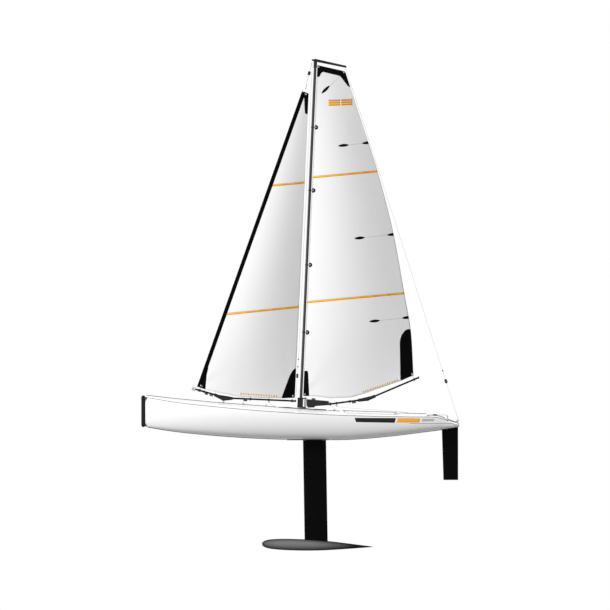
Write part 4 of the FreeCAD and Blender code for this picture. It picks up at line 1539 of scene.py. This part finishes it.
def mainsail() -> Sail:
    """The mainsail with all that is laid on it.

    Returns:
        The sail, not yet built.
    """
    heights = (0.1299, 0.280, 0.420, 0.615, 0.800, 0.953, 1.119)
    luff = [(MAST.x(z, MAST.luff_offset), z) for z in heights]
    corner_patches = [
        Patch(
            [(-0.0085, 1.1183), (-0.0915, 1.0995), (-0.1086, 1.0513), (-0.1000, 1.0550),
             (-0.0765, 1.0858), (-0.0230, 1.0985), (-0.0178, 1.0905), (-0.0150, 1.0830),
             (-0.0072, 1.0828)],
            0.0045,
        ),
        Patch(
            [(-0.2873, 0.3305), (-0.2898, 0.2950), (-0.2953, 0.1920), (-0.2566, 0.1752),
             (-0.2546, 0.2950), (-0.2610, 0.3150), (-0.2740, 0.3290)],
            0.006,
        ),
        Patch(
            [(0.0306, 0.2050), (0.0212, 0.2055), (0.0188, 0.1980), (0.0160, 0.1290),
             (0.0334, 0.1306)],
            0.0035,
        ),
        almond((-0.0212, 1.0338), (-0.0450, 1.0568), BATTEN_HALF),
        strip((-0.0450, 1.0568), (-0.0745, 1.0845), STRIP_HALF),
    ]
    bars = number_bars((-0.0413, 0.9968), 0.0345, 0.0188, 0.0026)
    pockets = (
        pocket((-0.0710, 0.8770), (-0.1020, 0.8800), (-0.1613, 0.8868))
        + pocket((-0.1195, 0.6005), (-0.1500, 0.6035), (-0.2362, 0.6128))
        + pocket((-0.1640, 0.3525), (-0.1950, 0.3555), (-0.2806, 0.3648))
    )
    edge = MAST.luff_offset + 0.0002
    discs = [disc(MAST.x(z, 0.0098), z, 0.0068, MAST.x(z, edge)) for z in COLLARS]
    return Sail(
        name="main", node="mainsail", body="main_rig", luff=luff,
        leech=[(-0.2957, 0.1906), (-0.2882, 0.3211), (-0.2673, 0.4430), (-0.2336, 0.6258),
               (-0.1873, 0.8035), (-0.1395, 0.9514), (-0.0917, 1.1001)],
        depth=[0.035, 0.07, 0.085, 0.09, 0.085, 0.07, 0.02],
        foot_drop=[(0.0, 0.0), (0.05, 0.0032), (0.28, 0.0235), (0.44, 0.0305), (0.53, 0.0275),
                   (0.71, 0.0179), (0.88, 0.0088), (1.0, 0.0)],
        patches=corner_patches + bars + pockets + discs
        + dashes((-0.1420, 0.1392), (-0.2500, 0.1757), 15, 0.0050),
        seams=[((0.0060, 0.7835), (-0.1872, 0.8020)), ((0.0230, 0.4105), (-0.2662, 0.4375))],
        eyelets=[(-0.0118, 1.1135), (-0.0880, 1.0970), (-0.2915, 0.1955), (0.0290, 0.1353)],
        flat_area=0.2262,
    )


def jib() -> Sail:
    """The jib with all that is laid on it.

    Returns:
        The sail, not yet built.
    """
    shares = [i / 6 for i in range(7)]
    tack, head = (0.3477, 0.1562), (0.0335, 1.0400)
    clew, peak = (0.0588, 0.1240), (0.0173, 1.0338)
    luff = [between(tack, head, t) for t in shares]
    leech = [between(clew, peak, t) for t in shares]
    corner_patches = [
        Patch(
            [(0.0330, 1.0392), (0.0178, 1.0332), (0.0203, 0.9712), (0.0282, 0.9730),
             (0.0296, 0.9900), (0.0309, 1.0190)],
            0.003,
        ),
        Patch(
            [(0.3258, 0.2175), (0.3170, 0.2160), (0.3222, 0.1920), (0.3260, 0.1495),
             (0.3470, 0.1570)],
            0.002,
        ),
        Patch(
            [(0.0551, 0.2142), (0.0585, 0.1250), (0.0992, 0.1232), (0.0735, 0.1930),
             (0.0630, 0.2090)],
            0.006,
        ),
    ]
    return Sail(
        name="jib", node="jib_sail", body="jib_rig", luff=luff, leech=leech,
        depth=[0.085 * (0.45 + 0.55 * math.sin(math.pi * min(1.0, t + 0.12))) for t in shares],
        foot_drop=[(0.0, 0.0), (0.077, 0.0048), (0.247, 0.0105), (0.433, 0.0150), (0.6, 0.0120),
                   (0.857, 0.0060), (1.0, 0.0)],
        patches=corner_patches + dashes((0.2230, 0.1348), (0.1090, 0.1268), 15, 0.0050),
        seams=[((0.1270, 0.7590), (0.0285, 0.7685)), ((0.2665, 0.3745), (0.0478, 0.3970))],
        eyelets=[(0.0262, 1.0310), (0.3385, 0.1608), (0.0645, 0.1305)],
        flat_area=0.1433,
    )


# ---------------------------------------------------------------- hull trim


@dataclass
class HullTrim:
    """The sheer bead, quarter lines, centre lines, bumper lips, stripes and hatch details."""

    stations: tuple[tuple[float, float, float], ...] = (
        (0.505, 0.0085, 0.1260), (0.470, 0.0175, 0.1199), (0.420, 0.0285, 0.1116),
        (0.350, 0.0400, 0.1031), (0.270, 0.0495, 0.0950), (0.180, 0.0560, 0.0870),
        (0.090, 0.0600, 0.0808), (0.0, 0.0620, 0.0756), (-0.090, 0.0625, 0.0717),
        (-0.180, 0.0615, 0.0692), (-0.270, 0.0580, 0.0677), (-0.336, 0.0535, 0.0672),
        (-0.350, 0.0523, 0.0669), (-0.363, 0.0510, 0.0659), (-0.385, 0.0485, 0.0612),
        (-0.432, 0.0420, 0.0480),
    )
    bead: float = 0.0007
    bead_inset: float = 0.0002
    bead_lift: float = 0.0001
    decal: float = 0.00015
    glue: float = 0.00005
    quarter: float = 0.0004
    crown: float = 0.0009
    crown_lift: float = 0.0006
    crown_step: float = 0.004

    def surface(self, node: str) -> BVHTree:
        """A CAD node's surface, for laying things on it.

        Args:
            node: the node's name.

        Returns:
            The tree that rays are sent at.
        """
        mesh = frame["nodes"][node].data
        points, faces = [v.co for v in mesh.vertices], [p.vertices for p in mesh.polygons]
        return BVHTree.FromPolygons(points, faces)

    def sheer_bead(self) -> None:
        """Build the rolled edge where the deck meets the hull."""
        shapes = []
        for side in (1, -1):
            bare = [Vector((x, side * (half - self.bead_inset), z + self.bead_lift))
                    for x, half, z in self.stations]
            shapes.append(tube_mesh(smooth_through(bare, 8), self.bead))
        mesh_piece("sheer_bead", shapes, Paint.SEAL_AND_SHADE_LINE, "hull")

    def quarter_line(self) -> None:
        """Build the thin moulded line that runs aft along each quarter and drops at the stern."""
        hull = self.surface("hull_shell")
        corners = ((-0.285, 0.0480), (-0.412, 0.0480), (-0.4262, 0.0400))
        sink = 0.0002
        shapes = []
        for side in (1, -1):
            spots = [between(start, stop, i / 25) for start, stop in zip(corners, corners[1:])
                     for i in range(25)]
            path = [self._on_hull(hull, spot, side) - Vector((0, side * sink, 0)) for spot in spots]
            shapes.append(tube_mesh(path, self.quarter))
        mesh_piece("quarter_line", shapes, Paint.SEAL_AND_SHADE_LINE, "hull")

    def stripe(
        self, name: str, paint: Paint, low: tuple[Point, Point], high: tuple[Point, Point]
    ) -> None:
        """Lay a plain stripe on both sides of the hull.

        Args:
            name: the piece's name.
            paint: its finish.
            low: the ends of its lower edge, as places along the side.
            high: the ends of its upper edge.
        """
        hull = self.surface("hull_shell")
        long, tall = 40, 6
        shapes = []
        for side in (1, -1):
            points = []
            for i in range(long + 1):
                under, over = between(*low, i / long), between(*high, i / long)
                points += [self._on_hull(hull, between(under, over, j / tall), side)
                           for j in range(tall + 1)]
            faces = []
            for quad in grid_faces(long, tall):
                first, ahead, _, above = (points[k] for k in quad)
                outward = (ahead - first).cross(above - first).y * side > 0
                faces.append(quad if outward else tuple(reversed(quad)))
            shapes.append((points, faces))
        solid = mesh_piece(name, shapes, paint, "hull").modifiers.new("thickness", "SOLIDIFY")
        solid.thickness = self.decal
        solid.offset = -1.0

    def _on_hull(self, hull: BVHTree, spot: Point, side: int) -> Vector:
        """A place on the hull's side, a decal's thickness off it.

        Args:
            hull: the hull's surface.
            spot: the place as seen from the side.
            side: 1 for port, -1 for starboard.

        Returns:
            The point.
        """
        hit = meeting(hull, Vector((spot[0], 0, spot[1])), Vector((0, -side, 0)))
        return hit + Vector((0, side * (self.decal + self.glue), 0))

    def stripes(self) -> None:
        """Lay the dark, orange and grey stripes of the quarter."""
        self.stripe("stripe_dark", Paint.DECAL_BLACK,
                    [(-0.1240, 0.0520), (-0.2390, 0.0500)], [(-0.1200, 0.0645), (-0.2430, 0.0640)])
        self.stripe("stripe_orange", Paint.DECAL_ORANGE,
                    [(-0.2450, 0.0512), (-0.3120, 0.0512)], [(-0.2480, 0.0645), (-0.3150, 0.0635)])
        self.stripe("stripe_grey", Paint.DECAL_GREY,
                    [(-0.3200, 0.0545), (-0.3560, 0.0555)], [(-0.3220, 0.0625), (-0.3590, 0.0620)])

    def centre_lines(self) -> None:
        """Build fine raised dark lines along the middle of the deck, the hatch and the bottom, as
        painted shade for the dark rim these crowned surfaces show edge-on.
        """
        low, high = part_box("hatch_cover")
        spans = (
            ("crown_shade_line_1", "deck", 0.1130, 0.5020, "hull", DOWN),
            ("crown_shade_line_2", "deck", high[0] + 0.0020, -0.0395, "hull", DOWN),
            ("crown_shade_line_3", "hatch_cover", low[0] + 0.0040, high[0] - 0.0040, "hatch", DOWN),
            ("crown_shade_line_4", "deck", -0.4290, low[0] - 0.0020, "hull", DOWN),
            ("keel_shade_line_1", "hull_shell", 0.0850, 0.4980, "hull", UP),
            ("keel_shade_line_2", "hull_shell", -0.4290, -0.0480, "hull", UP),
        )
        for name, node, aft, fore, body, way in spans:
            skin = self.surface(node)
            count = max(12, round((fore - aft) / self.crown_step))
            spots = [Vector((aft + (fore - aft) * i / count, 0, 0)) for i in range(count + 1)]
            hits = [meeting(skin, spot, way) for spot in spots]
            path = [hit - way * self.crown_lift for hit in hits if hit]
            # painted shade: a dark line where the crown or the bottom is seen edge-on
            mesh_piece(name, [tube_mesh(path, self.crown)], Paint.SEAL_AND_SHADE_LINE, body)

    def bumper_lip(self) -> None:
        """Wrap the bow bumper's edge back over the hull, deeper at its corners."""
        hull = self.surface("hull_shell")
        deep, back, front = 0.4990, 0.5040, 0.5049
        inset, step = 0.0002, 0.0005
        low, high = {}, {}
        for x in (deep, back, front):
            levels = [k * step for k in range(60, 270)]
            solid = [z for z in levels if meeting(hull, Vector((x, 0, z)), Vector((0, -1, 0)))]
            low[x], high[x] = solid[0] + inset, solid[-1] - inset
        self.stripe("bumper_lip_top", Paint.RUBBER,
                    ((back, high[back] - 0.009), (front, high[front] - 0.012)),
                    ((deep, high[deep]), (front, high[front])))
        self.stripe("bumper_lip_low", Paint.RUBBER,
                    ((deep, low[deep]), (front, low[front])),
                    ((back, low[back] + 0.009), (front, low[front] + 0.012)))

    def hatch_details(self) -> None:
        """Build the raised grip dots and the turn buttons of the hatch cover."""
        low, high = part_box("hatch_cover")
        end, corner, pitch = 0.030, 0.010, 0.011
        spread = high[0] - low[0] - 2 * end
        dots = [(low[0] + end + i * spread / 8, j * pitch)
                for i in range(9) for j in (-2, -1, 1, 2)]
        self._buttons("hatch_grip_dots", dots, 0.0016, 0.0006, Paint.DECK)
        corners = [(x, y) for x in (low[0] + corner, high[0] - corner)
                   for y in (low[1] + corner, high[1] - corner)]
        self._buttons("hatch_turn_buttons", corners, 0.0026, 0.0011, Paint.BLACK_NYLON)

    def _buttons(
        self, name: str, places: Sequence[Point], radius: float, height: float, paint: Paint
    ) -> None:
        """Stand low domed buttons on the hatch cover.

        Args:
            name: the piece's name.
            places: where they stand, towards the bow and to port.
            radius: of one button.
            height: of one button.
            paint: their finish.
        """
        lid = self.surface("hatch_cover")
        dome = [(radius * math.cos(a), height * math.sin(a)) for a in (0.0, 0.4, 0.8, 1.15, 1.5)]
        profile = [(radius, -0.0004), *dome]
        spots = [meeting(lid, Vector((x, y, 0)), DOWN) for x, y in places]
        mesh_piece(name, [turned_mesh(profile, spot, UP, 16) for spot in spots], paint, "hatch")

    def build(self) -> None:
        """Build and lay on all the trim."""
        self.sheer_bead()
        self.quarter_line()
        self.centre_lines()
        self.bumper_lip()
        self.stripes()
        self.hatch_details()


# ---------------------------------------------------------------- moulded webs


def moulded_plate(name: str, outline: Sequence[Point], half_width: float, body: str) -> None:
    """Build a nylon plate cut to an outline in the middle plane, with eased edges.

    Args:
        name: the piece's name.
        outline: its corners as seen from the side.
        half_width: half its width across the boat.
        body: the body it rides on.
    """
    count = len(outline)
    points = [Vector((x, side * half_width, z)) for side in (1, -1) for x, z in outline]
    faces = [tuple(range(count)), tuple(range(count, 2 * count))]
    faces += [(i, (i + 1) % count, (i + 1) % count + count, i + count) for i in range(count)]
    piece = mesh_piece(name, [(points, faces)], Paint.FITTING, body)
    mesh = bmesh.new()
    mesh.from_mesh(piece.data)
    bmesh.ops.recalc_face_normals(mesh, faces=mesh.faces)
    mesh.to_mesh(piece.data)
    mesh.free()
    bevel = piece.modifiers.new("eased_edges", "BEVEL")
    bevel.width = 0.0010
    bevel.segments = 3


@dataclass
class Webs:
    """The block that closes the mast's foot in front, and the web in the crook of each boom."""

    shoe_levels: Point = (0.0949, 0.1253)
    shoe_reach: Point = (0.0066, 0.0098)
    shoe_half_width: float = 0.0056
    web_half_width: float = 0.0040
    jib_crook: tuple[Point, ...] = (
        (0.2936, 0.1348), (0.2921, 0.1310), (0.2721, 0.1204), (0.2515, 0.1234),
        (0.2518, 0.1284),
    )
    main_crook: tuple[Point, ...] = (
        (-0.1360, 0.1222), (-0.1370, 0.1178), (-0.1585, 0.1202), (-0.1750, 0.1273),
        (-0.1760, 0.1317),
    )

    def build(self) -> None:
        """Build all three."""
        low, high = self.shoe_levels
        near, far = self.shoe_reach
        corners = ((low, near), (low, far), (high, far), (high, near))
        shoe = [(MAST.x(z) + reach, z) for z, reach in corners]
        moulded_plate("mast_foot_shoe", shoe, self.shoe_half_width, "hull")
        moulded_plate("jib_boom_web", self.jib_crook, self.web_half_width, "jib_rig")
        moulded_plate("main_boom_web", self.main_crook, self.web_half_width, "main_rig")


# ---------------------------------------------------------------- rigging


@dataclass
class Rigging:
    """Lines, lashings and ties that the plain frame can't show."""

    line: float = 0.0004
    tie: float = 0.00045
    stay_way: tuple[float, float, float] = (0.3365, 0, 1.0523)
    bead_place: tuple[float, float, float] = (-0.38268, 0, 0.2053)
    bead_radius: float = 0.0022
    lashing_spread: float = 0.0031

    def cord(
        self, name: str, node: str, route: Sequence[Point], body: str, moves_with: str | None = None
    ) -> bpy.types.Object:
        """A thin braided line between two parts of the boat.

        Args:
            name: the piece's name.
            node: the CAD node it stands for.
            route: its control points in the middle plane.
            body: the body it rides on when moves_with is not given.
            moves_with: the body at its near end; when one is given, the piece rides on no body.

        Returns:
            The piece.
        """
        path = nurbs_line([Vector((x, 0, z)) for x, z in route])
        rides = None if moves_with else body
        piece = mesh_piece(name, [tube_mesh(path, self.line)], Paint.LINE, rides)
        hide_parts(node)
        if moves_with:
            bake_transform(piece)
        return piece

    def cords(self) -> None:
        """Build the two sheets, the backstay and the jib's topping lift."""
        self.cord(
            "main_sheet_line", "main_sheet",
            [(-0.0660, 0.0990), (-0.0760, 0.0964), (-0.1450, 0.0908), (-0.2166, 0.0862),
             (-0.2700, 0.0820), (-0.2787, 0.0795), (-0.2787, 0.0740)],
            "hull", "main_rig",
        )
        self.cord(
            "jib_sheet_line", "jib_sheet",
            [(0.1365, 0.1102), (0.1300, 0.1050), (0.1200, 0.0995), (0.1180, 0.0960),
             (0.1180, 0.0860)],
            "hull", "jib_rig",
        )
        self.cord(
            "backstay_line", "backstay", [(-0.4301, 0.0570), (-0.2620, 0.5831), (-0.0936, 1.1093)],
            "hull",
        )
        self.cord(
            "topping_lift_line", "jib_topping_lift",
            [(0.0562, 0.1186), (0.05007, 0.2100), (0.04859, 0.2320), (0.0471, 0.2600),
             (0.0066, 1.1210)],
            "jib_rig",
        )

    def backstay_bead(self) -> None:
        """Build the ball with flattened ends that is threaded on the backstay."""
        angles = (0.3 * k for k in range(-4, 5))
        profile = [(self.bead_radius * math.cos(a), self.bead_radius * math.sin(a)) for a in angles]
        ball = turned_mesh(profile, Vector(self.bead_place), Vector(self.stay_way).normalized())
        mesh_piece("backstay_bead", [ball], Paint.BLACK_NYLON, "hull")

    def luff_ties(self) -> None:
        """Build a loop of cord at each collar, through the eyelet and round the mast."""
        middle, reach = 0.0035, 0.0088
        for number, z in enumerate(COLLARS, 1):
            shapes = []
            for level in (z - 0.0006, z + 0.0006):
                loop = []
                for i in range(33):
                    a = math.tau * i / 32
                    half = (0.0060 + 0.0026 * math.cos(a)) * math.sin(a) * 0.93
                    loop.append(Vector((MAST.x(level, middle) - reach * math.cos(a), half, level)))
                shapes.append(tube_mesh(loop, self.tie))
            piece = mesh_piece(f"luff_tie_{number}", shapes, Paint.DARK_LINE, None)
            fore, aft = MAST.x(z, 0.0030), MAST.x(z, 0.0100)
            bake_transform(piece)

    def lashing(self, name: str, top: Point, low: Point, body: str) -> None:
        """Build two turns of cord from a corner ring down round a boom.

        Args:
            name: the piece's name.
            top: the ring's place in the middle plane.
            low: where the cord passes under the boom.
            body: the body the piece rides on.
        """
        shapes = []
        for apart in (-0.0004, 0.0004):
            loop = []
            for i in range(41):
                a = math.tau * i / 40
                t = (1 - math.cos(a)) / 2
                x, z = between(top, low, t)
                half = self.lashing_spread * math.sin(a) * (0.35 + 0.65 * t)
                loop.append(Vector((x + apart, half, z)))
            shapes.append(tube_mesh(loop, self.tie))
        mesh_piece(name, shapes, Paint.LINE, body)

    def build(self) -> None:
        """Build every line, tie and lashing."""
        self.cords()
        self.backstay_bead()
        self.luff_ties()
        self.lashing("main_clew_lashing", (-0.2915, 0.1955), (-0.2965, 0.1765), "main_rig")
        self.lashing("jib_clew_lashing", (0.0645, 0.1300), (0.0645, 0.1120), "jib_rig")
        self.lashing("jib_tack_lashing", (0.3385, 0.1600), (0.3410, 0.1438), "jib_rig")


# ---------------------------------------------------------------- studio


@dataclass
class Studio:
    """Pale floor, white surroundings, soft lights and the camera."""

    frame_height: float = 1.822
    centre: tuple[float, float] = (0.0284, 0.4017)
    distance: float = 6.0
    floor_gap: float = 0.012
    floor_half: float = 12.0
    shed: float = 0.26

    def floor(self) -> None:
        """A plain pale floor under the bulb."""
        low, half = CAD_BOX[0].z - self.floor_gap, self.floor_half
        corners = [(-half, -half, low), (half, -half, low), (half, half, low), (-half, half, low)]
        mesh = bpy.data.meshes.new("floor")
        mesh.from_pydata(corners, [], [(0, 1, 2, 3)])
        bench = Bench("studio_floor")
        tone = bench.noise(bench.place(), 3.0, 2.0)
        grey = bench.blend(tone, (0.43, 0.43, 0.43), (0.47, 0.47, 0.47))
        bench.set(Base_Color=grey, Roughness=0.7)
        mesh.materials.append(bench.material)
        in_scene("floor", mesh)

    def surroundings(self) -> None:
        """White all round for the eye and for gloss, and a softer grey for the light it sheds."""
        world = bpy.data.worlds.new("studio")
        bpy.context.scene.world = world
        world.use_nodes = True
        tree = world.node_tree
        tree.nodes.clear()
        kinds = ("OutputWorld", "MixShader", "LightPath", "Math", "Background", "Background")
        out, mix, path, either, shed, seen = (tree.nodes.new("ShaderNode" + kind) for kind in kinds)
        either.operation = "MAXIMUM"
        for background, strength in ((shed, self.shed), (seen, 1.0)):
            background.inputs[0].default_value = (1.0, 1.0, 1.0, 1.0)
            background.inputs[1].default_value = strength
        links = (
            (path.outputs["Is Camera Ray"], either.inputs[0]),
            (path.outputs["Is Glossy Ray"], either.inputs[1]),
            (either.outputs[0], mix.inputs[0]),
            (shed.outputs[0], mix.inputs[1]),
            (seen.outputs[0], mix.inputs[2]),
            (mix.outputs[0], out.inputs[0]),
        )
        for start, end in links:
            tree.links.new(start, end)

    def light(self, name: str, toward: Vector, power: float, soft: float) -> None:
        """One distant soft light.

        Args:
            name: the light's name.
            toward: the way from the boat to the light.
            power: its strength.
            soft: how wide it looks from the boat, in degrees.
        """
        data = bpy.data.lights.new(name, "SUN")
        data.energy = power
        data.angle = math.radians(soft)
        in_scene(name, data).matrix_world = toward.to_track_quat("Z", "Y").to_matrix().to_4x4()

    def lights(self) -> None:
        """A raking key from ahead on the port side and a weak light from behind."""
        self.light("key", Vector((0.73, 0.45, 0.51)), 4.15, 24.0)
        self.light("back", Vector((0.45, -0.85, 0.3)), 0.8, 40.0)

    def camera(self) -> None:
        """A very long lens, square on to the port side."""
        data = bpy.data.cameras.new("camera")
        data.type = "ORTHO"
        data.ortho_scale = self.frame_height
        view = in_scene("camera", data)
        place = Vector((self.centre[0], self.distance, self.centre[1]))
        turn = Vector((0, -1, 0)).to_track_quat("-Z", "Y").to_matrix().to_4x4()
        view.matrix_world = Matrix.Translation(place) @ turn
        bpy.context.scene.camera = view
        bpy.context.scene.view_settings.view_transform = "Standard"

    def set_up(self) -> None:
        """Put up the whole studio."""
        self.floor()
        self.surroundings()
        self.lights()
        self.camera()


def main() -> None:
    """Dress the yacht, piece by piece."""
    logging.basicConfig(level=logging.INFO, format="%(message)s")
    Studio().set_up()
    paint_nodes()
    threads = RepeatTree("stitch_row")
    main_sail = mainsail()
    main_sail.dress(threads)
    luff_holes = [(MAST.x(z, 0.0100), z) for z in COLLARS]
    main_sail.rings("main_luff_rings", luff_holes, 0.0017, 0.0007, Paint.WHITE_NYLON)
    jib_sail = jib()
    jib_sail.dress(threads)
    LuffSleeve(jib_sail).build()
    HullTrim().build()
    Webs().build()
    Rigging().build()


if __name__ == "__main__":
    main()
